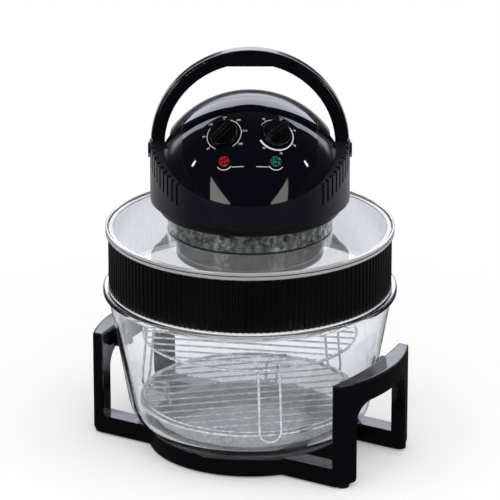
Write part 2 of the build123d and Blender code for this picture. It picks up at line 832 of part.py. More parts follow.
# Ring-shaped halogen tube, its ends held in two ceramic blocks
lamp_level = pan_ceiling - lamp_drop
lamp_holder_height = lamp_drop + lamp_tube_radius + lamp_holder_wall
with BuildPart() as halogen_lamp:
    with BuildLine(Plane.XY.offset(lamp_level)):
        lamp_path = CenterArc((0, 0), lamp_ring_radius, 90 + lamp_gap / 2, 360 - lamp_gap)
    with BuildSketch(Plane(lamp_path @ 0, z_dir=lamp_path % 0)):
        Circle(lamp_tube_radius)
    sweep(path=lamp_path)
save(halogen_lamp, "halogen_lamp")

with BuildPart() as lamp_holders:
    for holder_turn in (90 - lamp_gap / 2, 90 + lamp_gap / 2):
        inward = lamp_holder_side / 2 * (1 if holder_turn < 90 else -1)
        holder_plane = Plane.XY.rotated((0, 0, holder_turn)).offset(pan_ceiling - lamp_holder_height)
        with BuildSketch(holder_plane):
            with Locations((lamp_ring_radius, inward)):
                Rectangle(lamp_holder_side, lamp_holder_side)
        extrude(amount=lamp_holder_height)
save(lamp_holders, "lamp_holders")

# Body ring: the head's floor, with bosses for the screws that hold the collar
screw_turns = PolarLocations(head_screw_circle, head_screw_count, start_angle=20)
body_ring_bottom = glass_top + skirt_top
body_ring_end = glass_top + body_ring_top
with BuildPart() as body_base_ring:
    with BuildSketch(Plane.XY.offset(body_ring_bottom)):
        Circle(body_ring_outer)
        Circle(body_ring_inner, mode=Mode.SUBTRACT)
    extrude(amount=body_ring_wall)
    with BuildSketch(Plane.XY.offset(body_ring_bottom)):
        Circle(body_ring_outer)
        Circle(body_ring_outer - body_ring_wall, mode=Mode.SUBTRACT)
        with screw_turns:
            Circle(head_screw_radius + boss_wall)
    extrude(amount=body_ring_end - body_ring_bottom)
    with BuildSketch(Plane.XY.offset(body_ring_bottom)):
        with screw_turns:
            Circle(head_screw_radius + seam)
    extrude(amount=body_ring_end - body_ring_bottom, mode=Mode.SUBTRACT)
    with BuildSketch(Plane.XY.offset(body_ring_bottom)):
        with screw_turns:
            Circle(head_screw_head + seam)
    extrude(amount=clamp_head_height, mode=Mode.SUBTRACT)
save(body_base_ring, "body_base_ring")

with BuildPart() as head_screws:
    with BuildSketch(Plane.XY.offset(body_ring_bottom)):
        with screw_turns:
            Circle(head_screw_head)
    extrude(amount=clamp_head_height)
    with BuildSketch(Plane.XY.offset(body_ring_bottom)):
        with screw_turns:
            Circle(head_screw_radius)
    extrude(amount=head_screw_length)
save(head_screws, "head_screws")

# Side profile of the collar: a sloping front deck, two ears round the handle's pivot, a low rear wall
pivot_height = glass_top + pivot_level
channel_top = glass_top + channel_floor
rear_top = glass_top + rear_wall_top
collar_floor = body_ring_end + collar_wall
deck_rise = tan(radians(deck_slope))
deck_drop = collar_wall / cos(radians(deck_slope))
reach = 2 * collar_outer


def deck_level(y):
    """Height of the collar's sloping deck at a place from front to back."""
    return glass_top + collar_front_top + (collar_outer + y) * deck_rise


with BuildPart() as collar_cavity:
    with BuildSketch(Plane.YZ):
        Polygon(
            (-reach, collar_floor),
            (reach, collar_floor),
            (reach, glass_top + reach),
            (wing_back, glass_top + reach),
            (wing_back, channel_top - collar_wall),
            (wing_back - collar_wall, channel_top - collar_wall),
            (wing_back - collar_wall, deck_level(wing_back - collar_wall) - deck_drop),
            (-reach, deck_level(-reach) - deck_drop),
        )
    extrude(amount=reach, both=True)
    with Locations((0, 0, collar_floor)):
        Cylinder(
            collar_outer - collar_wall,
            reach,
            align=(Align.CENTER, Align.CENTER, Align.MIN),
            mode=Mode.INTERSECT,
        )

with BuildPart() as head_collar:
    with BuildSketch(Plane.YZ):
        Polygon(
            (-reach, body_ring_end),
            (reach, body_ring_end),
            (reach, rear_top),
            (wing_back, rear_top),
            (wing_back, deck_level(wing_back)),
            (-reach, deck_level(-reach)),
        )
        with Locations((0, pivot_height)):
            Circle(ear_radius)
        with Locations((0, pivot_height)):
            Rectangle(2 * ear_radius, pivot_height - rear_top + 1, align=(Align.CENTER, Align.MAX))
    extrude(amount=reach, both=True)
    with Locations((0, 0, body_ring_end)):
        Cylinder(
            collar_outer, reach, align=(Align.CENTER, Align.CENTER, Align.MIN), mode=Mode.INTERSECT
        )
    add(collar_cavity.part, mode=Mode.SUBTRACT)
    with Locations((0, 0, glass_top + dome_centre)):
        Sphere(dome_radius - 2 * dome_wall, mode=Mode.SUBTRACT)
    with BuildSketch(Plane.XY.offset(body_ring_end)):
        Circle(collar_outer - collar_wall / 2)
        Circle(collar_plate_inner, mode=Mode.SUBTRACT)
    extrude(amount=collar_wall)
    # the wings' rear faces stop at the dome
    with BuildSketch(Plane.XZ.offset(-wing_back)):
        with Locations((0, glass_top + dome_centre)):
            Circle(sqrt((dome_radius + seam) ** 2 - (wing_back - collar_wall) ** 2))
        with Locations((0, channel_top - collar_wall)):
            Rectangle(reach, reach, align=(Align.CENTER, Align.MAX), mode=Mode.SUBTRACT)
    extrude(amount=collar_wall, mode=Mode.SUBTRACT)
    # bosses that the head's screws turn into
    with BuildSketch(Plane.XY.offset(collar_floor)):
        with screw_turns:
            Circle(head_screw_radius + boss_wall)
    extrude(amount=body_ring_bottom + head_screw_length + head_screw_room - collar_floor)
    with BuildSketch(Plane.XY.offset(body_ring_end)):
        with screw_turns:
            Circle(head_screw_radius + fixed_fit)
    extrude(amount=body_ring_bottom + head_screw_length - body_ring_end, mode=Mode.SUBTRACT)
    # comb of vent slots on each wing, open at the deck
    for side in (-1, 1):
        for number in range(vent_count):
            vent_turn = -90 + side * (vent_first + number * vent_pitch)
            wing_y = collar_outer * sin(radians(vent_turn))
            with BuildSketch(facing(vent_turn, collar_outer - 2 * collar_wall)):
                with Locations((0, deck_level(wing_y) - vent_depth)):
                    Rectangle(vent_width, reach, align=(Align.CENTER, Align.MIN))
            extrude(amount=3 * collar_wall, mode=Mode.SUBTRACT)
    # shallow notch in the front of the rim
    with BuildSketch(Plane.XY.offset(glass_top + collar_front_top - notch_height)):
        with Locations((0, -collar_outer)):
            Rectangle(notch_width, collar_outer)
        Circle(collar_outer - notch_depth, mode=Mode.SUBTRACT)
    extrude(amount=reach, mode=Mode.SUBTRACT)
    # pivot bores through the ears, and the cord gland's hole in the rear wall
    with BuildSketch(Plane.YZ):
        with Locations((0, pivot_height)):
            Circle(pivot_radius + fixed_fit)
    extrude(amount=reach, both=True, mode=Mode.SUBTRACT)
    with BuildSketch(Plane.XZ):
        with Locations((0, glass_top + gland_level)):
            Circle(gland_neck + fixed_fit)
    extrude(amount=-reach, mode=Mode.SUBTRACT)
save(head_collar, "head_collar")

# Dome: the front half is a full sphere cut off at the deck, the rear half is slimmer, so that the
# carry handle can fold down behind it
dome_level = glass_top + dome_centre
with BuildPart() as dome_cavity:
    with BuildSketch(Plane.YZ):
        Polygon(
            (-reach, glass_top),
            (wing_back - dome_wall, glass_top),
            (wing_back - dome_wall, glass_top + reach),
            (-reach, glass_top + reach),
        )
    extrude(amount=reach, both=True)
    with Locations((0, 0, pivot_height)):
        Sphere(rear_dome_radius - dome_wall)
    with Locations((0, 0, dome_level)):
        Sphere(dome_radius - dome_wall, mode=Mode.INTERSECT)

with BuildPart() as rear_dome:
    with BuildSketch(Plane.YZ):
        Polygon(
            (wing_back - collar_wall, channel_top - collar_wall),
            (reach, channel_top - collar_wall),
            (reach, glass_top + reach),
            (wing_back - collar_wall, glass_top + reach),
        )
    extrude(amount=reach, both=True)
    with Locations((0, 0, pivot_height)):
        Sphere(rear_dome_radius, mode=Mode.INTERSECT)

with BuildPart() as fascia_prism:
    with BuildSketch(Plane.XZ.offset(-wing_back)) as fascia_front:
        half_outline = [
            (fascia_foot, glass_top),
            (fascia_foot, glass_top + fascia_waist_level - (fascia_waist - fascia_foot)),
            (fascia_waist, glass_top + fascia_waist_level),
            (fascia_half_width, glass_top + fascia_shoulder_level),
            (fascia_half_width, glass_top + reach),
        ]
        Polygon(*half_outline, *[(-x, z) for x, z in reversed(half_outline)])
        shoulders = [v for v in fascia_front.vertices() if abs(v.Y - glass_top - fascia_shoulder_level) < 1]
        fillet(shoulders, fascia_half_width - fascia_waist)
    extrude(amount=reach)


def dome_plane(sideways, lift, out=0):
    """A plane that touches the dome's sphere, at a distance sideways and an angle above its equator."""
    share = sideways / dome_radius
    across = sqrt(1 - share**2)
    normal = Vector(share, -across * cos(radians(lift)), across * sin(radians(lift)))
    centre = Vector(0, 0, dome_level) + normal * (dome_radius + out)
    return Plane(origin=centre, x_dir=Vector(1, 0, 0) - normal * share, z_dir=normal)


with BuildPart() as fascia_pocket:
    with Locations((0, 0, dome_level)):
        Sphere(dome_radius + dome_wall)
        Sphere(dome_radius - fascia_thickness - seam, mode=Mode.SUBTRACT)
    add(fascia_prism.part, mode=Mode.INTERSECT)

with BuildPart() as fascia_block:
    with BuildSketch(Plane.YZ):
        Polygon(
            (-reach, deck_level(-reach) + seam),
            (wing_back - seam, deck_level(wing_back) + seam),
            (wing_back - seam, glass_top + reach),
            (-reach, glass_top + reach),
        )
    extrude(amount=reach, both=True)
    add(fascia_prism.part, mode=Mode.INTERSECT)

channel_hole = sqrt((rear_dome_radius - dome_wall) ** 2 - (pivot_level - channel_floor) ** 2)
panel_holes = [
    (-knob_sideways, knob_lift, spindle_radius + knob_clearance),
    (knob_sideways, knob_lift, spindle_radius + knob_clearance),
    (-lens_sideways, lens_lift, lens_neck + seam),
    (lens_sideways, lens_lift, lens_neck + seam),
]
with BuildPart() as dome_cover:
    with BuildSketch(Plane.YZ):
        Polygon(
            (-reach, deck_level(-reach)),
            (wing_back, deck_level(wing_back)),
            (wing_back, glass_top + reach),
            (-reach, glass_top + reach),
        )
    extrude(amount=reach, both=True)
    add(rear_dome.part)
    with Locations((0, 0, dome_level)):
        Sphere(dome_radius, mode=Mode.INTERSECT)
    add(dome_cavity.part, mode=Mode.SUBTRACT)
    # floor of the channel that the folded handle lies over
    with BuildSketch(Plane.XY.offset(channel_top - collar_wall)):
        Circle(collar_outer - collar_wall - rest_gap)
        Circle(channel_hole, mode=Mode.SUBTRACT)
        with Locations((0, wing_back + rest_gap)):
            Rectangle(2 * reach, reach, align=(Align.CENTER, Align.MAX), mode=Mode.SUBTRACT)
    extrude(amount=collar_wall)
    # pocket for the fascia
    add(fascia_pocket.part, mode=Mode.SUBTRACT)
    for sideways, lift, radius in panel_holes:
        with BuildSketch(dome_plane(sideways, lift, -3 * dome_wall)):
            Circle(radius)
        extrude(amount=4 * dome_wall, mode=Mode.SUBTRACT)
    with BuildSketch(Plane.XY.offset(channel_top - collar_wall)):
        with Locations((-(handle_leg_outer + handle_arch_inner) / 2, 0)):
            Circle(plunger_radius + running_fit)
    extrude(amount=collar_wall, mode=Mode.SUBTRACT)
save(dome_cover, "dome_cover")

with BuildPart() as control_fascia:
    with Locations((0, 0, dome_level)):
        Sphere(dome_radius)
        Sphere(dome_radius - fascia_thickness, mode=Mode.SUBTRACT)
    add(fascia_block.part, mode=Mode.INTERSECT)
    for sideways, lift, radius in panel_holes:
        with BuildSketch(dome_plane(sideways, lift, -3 * dome_wall)):
            Circle(radius)
        extrude(amount=4 * dome_wall, mode=Mode.SUBTRACT)
save(control_fascia, "control_fascia")

# Knobs: a low round skirt with a grip bar across it, and a spindle that reaches into its control
knob_base = knob_clearance + dome_radius - sqrt(dome_radius**2 - knob_radius**2)
control_top = sqrt((dome_radius - dome_wall) ** 2 - timer_radius**2) - dome_radius - seam
for knob_name, sideways in (("temperature_knob", -knob_sideways), ("timer_knob", knob_sideways)):
    with BuildPart() as knob:
        with BuildSketch(dome_plane(sideways, knob_lift, knob_base - knob_skirt_drop)):
            Circle(knob_radius)
        extrude(amount=knob_skirt_height, taper=knob_skirt_taper)
        with BuildSketch(dome_plane(sideways, knob_lift, knob_base)):
            Rectangle(knob_grip_width, 2 * (knob_radius - knob_grip_margin), rotation=-knob_grip_turn)
        extrude(amount=knob_height, taper=knob_grip_taper)
        fillet(knob.edges().filter_by(GeomType.LINE).sort_by(SortBy.LENGTH)[-2:], knob_grip_edge)
        with BuildSketch(dome_plane(sideways, knob_lift, control_top - control_depth / 2)):
            Circle(spindle_radius)
        extrude(amount=knob_base - control_top + control_depth / 2)
    save(knob, knob_name)

# Thermostat and timer behind the dome, each with a bore for its knob's spindle
for control_name, sideways, control_radius in (
    ("thermostat", -knob_sideways, thermostat_radius),
    ("timer", knob_sideways, timer_radius),
):
    with BuildPart() as control:
        with BuildSketch(dome_plane(sideways, knob_lift, control_top - control_depth)):
            Circle(control_radius)
        extrude(amount=control_depth)
        with BuildSketch(dome_plane(sideways, knob_lift, control_top - control_depth / 2 - spindle_room)):
            Circle(spindle_radius + running_fit)
        extrude(amount=control_depth, mode=Mode.SUBTRACT)
    save(control, control_name)

# Indicator lenses with the lamps behind them
for lens_name, sideways in (("power_lens", -lens_sideways), ("heat_lens", lens_sideways)):
    with BuildPart() as lens:
        with BuildSketch(dome_plane(sideways, lens_lift)):
            Circle(lens_radius)
        extrude(amount=lens_height)
        far_point = dome_plane(sideways, lens_lift, reach).origin
        crown = lens.edges().filter_by(GeomType.CIRCLE).sort_by_distance(far_point)[0]
        fillet(crown, lens_height - lens_rim)
        with BuildSketch(dome_plane(sideways, lens_lift, -dome_wall)):
            Circle(lens_neck)
        extrude(amount=dome_wall)
    save(lens, lens_name)

with BuildPart() as indicator_lamps:
    for sideways in (-lens_sideways, lens_sideways):
        with BuildSketch(dome_plane(sideways, lens_lift, -dome_wall - indicator_length)):
            Circle(indicator_radius)
        extrude(amount=indicator_length)
save(indicator_lamps, "indicator_lamps")

# Carry handle: an arch between the two ears, with a spiral cam on its left leg
arch_level = pivot_height + handle_arch_raise
shoulder_level = pivot_height + handle_shoulder
arch_shoulder_x = sqrt(handle_arch_outer**2 - (handle_shoulder - handle_arch_raise) ** 2)
flat_level = arch_level + sqrt(handle_arch_inner**2 - handle_flat_half**2)
handle_bottom = pivot_height - handle_depth / 2
cam_turns = [(step / cam_steps, radians(cam_sweep * step / cam_steps)) for step in range(cam_steps + 1)]
cam_points = [
    (
        (cam_start + cam_rise * share) * sin(turn),
        pivot_height - (cam_start + cam_rise * share) * cos(turn),
    )
    for share, turn in cam_turns
]
with BuildPart() as handle_side_view:
    with BuildSketch(Plane.YZ):
        with Locations((0, pivot_height)):
            Circle(handle_depth / 2)
            Rectangle(handle_depth, reach, align=(Align.CENTER, Align.MIN))
    extrude(amount=reach, both=True)

with BuildPart() as carry_handle:
    with BuildSketch(Plane.XZ):
        with BuildLine():
            arch = ThreePointArc(
                (-arch_shoulder_x, shoulder_level),
                (0, arch_level + handle_arch_outer),
                (arch_shoulder_x, shoulder_level),
            )
            right_outside = Polyline(
                arch @ 1,
                (handle_leg_outer, shoulder_level - handle_shoulder_rise),
                (handle_leg_outer, handle_bottom),
                (handle_arch_inner, handle_bottom),
                (handle_arch_inner, arch_level),
            )
            right_inside = ThreePointArc(
                right_outside @ 1,
                (
                    handle_arch_inner * cos(pi / 4),
                    arch_level + handle_arch_inner * sin(pi / 4),
                ),
                (handle_flat_half, flat_level),
            )
            flat = Line(right_inside @ 1, (-handle_flat_half, flat_level))
            left_inside = ThreePointArc(
                flat @ 1,
                (
                    -handle_arch_inner * cos(pi / 4),
                    arch_level + handle_arch_inner * sin(pi / 4),
                ),
                (-handle_arch_inner, arch_level),
            )
            Polyline(
                left_inside @ 1,
                (-handle_arch_inner, handle_bottom),
                (-handle_leg_outer, handle_bottom),
                (-handle_leg_outer, shoulder_level - handle_shoulder_rise),
                arch @ 0,
            )
        make_face()
    extrude(amount=handle_depth / 2, both=True)
    fillet(carry_handle.edges().filter_by(GeomType.CIRCLE), handle_round)
    add(handle_side_view.part, mode=Mode.INTERSECT)
    with BuildSketch(Plane.YZ.offset(-(handle_leg_outer + handle_arch_inner + cam_thickness) / 2)):
        Polygon(
            (0, pivot_height),
            *cam_points,
            (cam_start + cam_rise, pivot_height + cam_thickness),
            (0, pivot_height + cam_root),
        )
    extrude(amount=cam_thickness)
    with BuildSketch(Plane.YZ):
        with Locations((0, pivot_height)):
            Circle(pivot_radius + running_fit)
    extrude(amount=reach, both=True, mode=Mode.SUBTRACT)
save(carry_handle, "carry_handle")

with BuildPart() as pivot_pins:
    for side in (-1, 1):
        with BuildSketch(facing(90 - 90 * side, collar_outer + fixed_fit)):
            with Locations((0, pivot_height)):
                Circle(pivot_cap_radius)
        extrude(amount=pivot_cap_height)
        with BuildSketch(facing(90 - 90 * side, handle_arch_inner - pivot_reach)):
            with Locations((0, pivot_height)):
                Circle(pivot_radius)
        extrude(amount=collar_outer + pivot_cap_height / 2 - handle_arch_inner + pivot_reach)
save(pivot_pins, "pivot_pins")

# Safety switch under the channel's floor, and the plunger that the cam pushes down
switch_x = -(handle_leg_outer + handle_arch_inner) / 2
switch_top = channel_top - collar_wall
plunger_top = pivot_height - cam_start - cam_gap
with BuildPart() as safety_switch:
    with BuildSketch(Plane.XY.offset(switch_top - switch_height)):
        with Locations((switch_x, 0)):
            Rectangle(switch_side, switch_length)
    extrude(amount=switch_height)
    with BuildSketch(Plane.XY.offset(plunger_top - plunger_length - cam_rise - plunger_room)):
        with Locations((switch_x, 0)):
            Circle(plunger_radius + running_fit)
    extrude(amount=plunger_length + reach, mode=Mode.SUBTRACT)
save(safety_switch, "safety_switch")

with BuildPart() as switch_plunger:
    with BuildSketch(Plane.XY.offset(plunger_top - plunger_length)):
        with Locations((switch_x, 0)):
            Circle(plunger_radius)
    extrude(amount=plunger_length)
    fillet(switch_plunger.edges().sort_by(Axis.Z)[-1], plunger_round)
save(switch_plunger, "switch_plunger")

# Motor: a stator block with its coil, between two bracket plates that hold the bearings
bracket_bottom = body_ring_bottom + body_ring_wall
stator_bottom = bracket_bottom + bracket_sheet + stator_stand
stator_top = stator_bottom + stator_height
stud_places = [(x, y) for x in (-1, 1) for y in (-1, 1)]
stud_x = stator_width / 2 - stud_inset_x
stud_y = bracket_width / 2 - stud_inset_y
with BuildPart() as motor_bracket:
    for level, length in ((bracket_bottom, bracket_length), (stator_top, stator_width)):
        with BuildSketch(Plane.XY.offset(level)):
            Rectangle(length, bracket_width)
            Circle(bearing_radius + fixed_fit, mode=Mode.SUBTRACT)
        extrude(amount=bracket_sheet)
    with BuildSketch(Plane.XY.offset(bracket_bottom + bracket_sheet)):
        with Locations(*[(x * stud_x, y * stud_y) for x, y in stud_places]):
            Circle(stud_radius)
    extrude(amount=stator_stand)
save(motor_bracket, "motor_bracket")

with BuildPart() as motor_stator:
    with BuildSketch(Plane.XY.offset(stator_bottom)):
        with Locations((0, (stator_back - stator_front) / 2)):
            Rectangle(stator_width, stator_back + stator_front)
        Circle(rotor_radius + rotor_gap, mode=Mode.SUBTRACT)
        with Locations((0, stator_back - 3 * coil_core / 2)):
            Rectangle(2 * (coil_half_width + coil_window_margin), coil_core, mode=Mode.SUBTRACT)
    extrude(amount=stator_height)
save(motor_stator, "motor_stator")

with BuildPart() as motor_coil:
    with BuildSketch(Plane.YZ):
        with Locations((stator_back - coil_core / 2, stator_bottom + stator_height / 2)):
            Rectangle(coil_core + 2 * coil_wall, stator_height + 2 * coil_wall)
            Rectangle(coil_core + 2 * seam, stator_height + 2 * seam, mode=Mode.SUBTRACT)
    extrude(amount=coil_half_width, both=True)
save(motor_coil, "motor_coil")

with BuildPart() as motor_bearings:
    for level in (bracket_bottom, stator_top):
        with BuildSketch(Plane.XY.offset(level)):
            Circle(bearing_radius)
            Circle(shaft_radius + running_fit, mode=Mode.SUBTRACT)
        extrude(amount=lower_bearing_height if level == bracket_bottom else bearing_height)
save(motor_bearings, "motor_bearings")

# Shaft with its rotor, two fans and the nut that holds the lower one
fan_level = pan_ceiling - fan_height - fan_clearance
shaft_bottom = fan_level - fan_nut_height - shaft_end
shaft_top = stator_top + bearing_height + shaft_top_end
with BuildPart() as motor_shaft:
    with BuildSketch(Plane.XY.offset(shaft_bottom)):
        Circle(shaft_radius)
    extrude(amount=shaft_top - shaft_bottom)
save(motor_shaft, "motor_shaft")

with BuildPart() as motor_rotor:
    with BuildSketch(Plane.XY.offset(stator_bottom + rotor_end_gap)):
        Circle(rotor_radius)
        Circle(shaft_radius + fixed_fit, mode=Mode.SUBTRACT)
    extrude(amount=stator_height - 2 * rotor_end_gap)
save(motor_rotor, "motor_rotor")

fans = (
    ("convection_fan", fan_level, convection_fan_radius),
    ("cooling_fan", shield_bottom + pan_sheet + cooling_fan_clearance, cooling_fan_radius),
)
for fan_name, level, fan_radius in fans:
    with BuildPart() as fan:
        with BuildSketch(Plane.XY.offset(level)):
            Circle(fan_radius / 2)
        extrude(amount=fan_blade)
        with BuildSketch(Plane.XY.offset(level)):
            Circle(fan_hub)
        extrude(amount=fan_height)
        with BuildSketch(Plane.XY.offset(level)):
            with PolarLocations(0, fan_blade_count):
                with Locations((fan_radius / 2 + fan_blade_root, 0)):
                    Rectangle(fan_radius - 2 * fan_blade_root, fan_blade)
        extrude(amount=fan_height)
        with BuildSketch(Plane.XY.offset(level)):
            Circle(shaft_radius + fixed_fit)
        extrude(amount=fan_height, mode=Mode.SUBTRACT)
    save(fan, fan_name)

with BuildPart() as fan_nut:
    with BuildSketch(Plane.XY.offset(fan_level - fan_nut_height)):
        RegularPolygon(fan_nut_radius, 6)
        Circle(shaft_radius + fixed_fit, mode=Mode.SUBTRACT)
    extrude(amount=fan_nut_height)
save(fan_nut, "fan_nut")

# Cord gland in the rear wall, and the terminal block inside it
rear_plane = Plane.XZ.offset(-(collar_outer - 2 * collar_wall))
with BuildPart() as cord_gland:
    with BuildSketch(rear_plane):
        with Locations((0, glass_top + gland_level)):
            Circle(gland_neck)
    extrude(amount=-(2 * collar_wall + gland_flange_thickness))
    with BuildSketch(Plane.XZ.offset(-collar_outer - fixed_fit)):
        with Locations((0, glass_top + gland_level)):
            Circle(gland_flange)
    extrude(amount=-gland_flange_thickness)
    with BuildSketch(Plane.XZ):
        with Locations((0, glass_top + gland_level)):
            Circle(gland_bore)
    extrude(amount=-reach, mode=Mode.SUBTRACT)
save(cord_gland, "cord_gland")

with BuildPart() as terminal_block:
    with BuildSketch(Plane.XY.offset(collar_floor)):
        with Locations((0, collar_plate_inner + terminal_depth / 2 + terminal_setback)):
            Rectangle(terminal_length, terminal_depth)
    extrude(amount=terminal_height)
save(terminal_block, "terminal_block")
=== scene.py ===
import json
from math import asin, cos, pi, radians, sin, sqrt, tan

import bpy
import bmesh
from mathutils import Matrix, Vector


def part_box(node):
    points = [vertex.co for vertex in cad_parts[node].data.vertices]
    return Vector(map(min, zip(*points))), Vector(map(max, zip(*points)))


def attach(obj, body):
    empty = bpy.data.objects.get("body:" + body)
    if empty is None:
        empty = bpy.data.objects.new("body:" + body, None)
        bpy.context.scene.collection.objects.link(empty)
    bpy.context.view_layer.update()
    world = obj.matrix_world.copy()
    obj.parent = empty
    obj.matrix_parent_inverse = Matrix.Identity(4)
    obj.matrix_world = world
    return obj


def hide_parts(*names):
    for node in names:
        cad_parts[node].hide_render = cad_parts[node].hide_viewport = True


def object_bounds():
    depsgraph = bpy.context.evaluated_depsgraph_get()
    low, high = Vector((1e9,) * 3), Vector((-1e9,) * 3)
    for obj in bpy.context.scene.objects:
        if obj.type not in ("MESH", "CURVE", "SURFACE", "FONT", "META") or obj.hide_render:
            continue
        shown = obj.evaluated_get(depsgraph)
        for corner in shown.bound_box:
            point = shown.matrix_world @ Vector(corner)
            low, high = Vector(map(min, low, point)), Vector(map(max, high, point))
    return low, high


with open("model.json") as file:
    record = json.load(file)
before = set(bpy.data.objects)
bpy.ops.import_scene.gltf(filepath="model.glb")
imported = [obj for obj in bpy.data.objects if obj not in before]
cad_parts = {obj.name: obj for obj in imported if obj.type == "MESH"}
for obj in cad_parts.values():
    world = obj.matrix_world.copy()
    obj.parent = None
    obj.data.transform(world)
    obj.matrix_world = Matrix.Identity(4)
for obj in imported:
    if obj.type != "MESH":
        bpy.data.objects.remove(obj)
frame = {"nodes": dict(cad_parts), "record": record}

# Halogen oven with its lid, ring, racks and basket in place. Metres, +Z up, the controls face -Y.
mm = 0.001
nodes = frame["nodes"]
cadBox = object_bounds()


def fromScreen(red, green, blue):
    # screen levels from 0 to 255, as the shader's linear colour
    return tuple((level / 255) ** 2.2 for level in (red, green, blue)) + (1.0,)


view = {
    "elevation": 20.0,  # degrees above the worktop
    "lens": 280.0,
    "sensor": 36.0,
    "fill": 0.98,  # share of the picture's height that the oven takes
    "aimDrop": 0.004,
}


def placeCamera():
    low, high = cadBox
    middle, size = (low + high) / 2, high - low
    lift = radians(view["elevation"])
    seenHeight = size.z * cos(lift) + size.y * sin(lift)
    distance = seenHeight / view["fill"] * view["lens"] / view["sensor"]
    towards = Vector((0, -cos(lift), sin(lift)))
    camera = bpy.data.objects.new("camera", bpy.data.cameras.new("camera"))
    camera.data.lens = view["lens"]
    camera.data.sensor_width = view["sensor"]
    camera.location = middle + towards * distance - Vector((0, 0, view["aimDrop"]))
    camera.rotation_euler = (-towards).to_track_quat("-Z", "Y").to_euler()
    bpy.context.scene.collection.objects.link(camera)
    bpy.context.scene.camera = camera


placeCamera()
print("camera placed")

studio = {
    "ambient": 0.62,
    "mirrorFront": 0.025,  # what gloss shows of the room towards the camera and overhead
    "mirrorBack": 0.08,
    "mirrorTurn": (0.1, 0.85),  # how far round towards the back the change starts and ends
    "floorTone": (0.93, 0.93, 0.935, 1.0),
    "floorGlow": 0.2,
    "floorMirrorNear": 0.03,  # what gloss shows of the worktop near the oven and in front
    "floorMirrorFar": 0.5,
    "floorMirrorReach": (0.45, 1.3),  # metres from the oven's middle
    "floorMirrorBehind": (-0.6, 0.5),
    "floorReach": 9.0,
    "floorFade": (0.26, 0.75),  # where the worktop turns plain white
}
lamps = {
    # name: place, width, height, power, colour, shown in gloss
    "overhead": ((0.0, -0.35, 1.9), 1.6, 1.4, 11.0, (1.0, 0.99, 0.98), False),
    "frontFill": ((0.2, -2.1, 1.0), 1.2, 1.0, 5.0, (1.0, 1.0, 1.0), False),
    "leftStrip": ((-1.6, -0.26, 1.16), 0.07, 0.18, 0.7, (0.95, 0.97, 1.0), True),
    "rightStrip": ((1.6, -0.26, 1.16), 0.07, 0.18, 0.7, (0.95, 0.97, 1.0), True),
}
cards = {
    # bright sheets that only gloss shows: colour, strength, corners
    "backSheet": (
        (0.84, 0.86, 1.0), 2.7, ((-4.3, 3.0, 1.25), (4.3, 3.0, 1.25), (4.3, 3.0, 5.2), (-4.3, 3.0, 5.2)),
    ),
    "leftSheet": ((1.0, 0.99, 0.92), 2.6, ((-2.09, -1.72, 1.6), (-2.08, -2.17, 0.22), (-1.11, -2.80, 0.40))),
    "rightSheet": ((1.0, 0.99, 0.92), 2.2, ((2.03, -1.8, 1.55), (1.98, -2.25, 0.22), (1.16, -2.78, 0.40))),
}


def newGroup(name, inputs, outputs):
    group = bpy.data.node_groups.new(name, "ShaderNodeTree")
    for socket, value in inputs.items():
        made = group.interface.new_socket(socket, in_out="INPUT", socket_type="NodeSocketFloat")
        made.default_value = value
    for socket in outputs:
        group.interface.new_socket(socket, in_out="OUTPUT", socket_type="NodeSocketFloat")
    return group, group.nodes.new("NodeGroupInput"), group.nodes.new("NodeGroupOutput")


def addMath(tree, operation, first, second=None, third=None, clamp=False):
    # each term is a number or another node's output
    node = tree.nodes.new("ShaderNodeMath")
    node.operation = operation
    node.use_clamp = clamp
    for number, term in enumerate((first, second, third)):
        if isinstance(term, (int, float)):
            node.inputs[number].default_value = term
        elif term is not None:
            tree.links.new(term, node.inputs[number])
    return node.outputs[0]


def addNoise(tree, scale, place=None, detail=3.0, roughness=0.55, distortion=0.0):
    noise = tree.nodes.new("ShaderNodeTexNoise")
    noise.inputs["Detail"].default_value = detail
    noise.inputs["Roughness"].default_value = roughness
    noise.inputs["Distortion"].default_value = distortion
    if place is None:
        place = tree.nodes.new("ShaderNodeTexCoord").outputs["Object"]
    tree.links.new(place, noise.inputs["Vector"])
    if isinstance(scale, (int, float)):
        noise.inputs["Scale"].default_value = scale
    else:
        tree.links.new(scale, noise.inputs["Scale"])
    return noise.outputs["Fac"]


def addRange(tree, value, fromLow, fromHigh, toLow=0.0, toHigh=1.0):
    node = tree.nodes.new("ShaderNodeMapRange")
    node.interpolation_type = "SMOOTHSTEP"
    tree.links.new(value, node.inputs["Value"])
    limits = (("From Min", fromLow), ("From Max", fromHigh), ("To Min", toLow), ("To Max", toHigh))
    for socket, term in limits:
        if isinstance(term, (int, float)):
            node.inputs[socket].default_value = term
        else:
            tree.links.new(term, node.inputs[socket])
    return node.outputs["Result"]


def buildLamps():
    target = (cadBox[0] + cadBox[1]) / 2
    for name, (place, width, height, power, colour, inGloss) in lamps.items():
        light = bpy.data.lights.new(name, "AREA")
        light.shape = "RECTANGLE"
        light.size, light.size_y = width, height
        light.energy = power
        light.color = colour
        lamp = bpy.data.objects.new(name, light)
        lamp.location = place
        lamp.rotation_euler = (target - Vector(place)).to_track_quat("-Z", "Y").to_euler()
        lamp.visible_glossy = inGloss
        lamp.visible_camera = False
        lamp.visible_transmission = False
        bpy.context.scene.collection.objects.link(lamp)


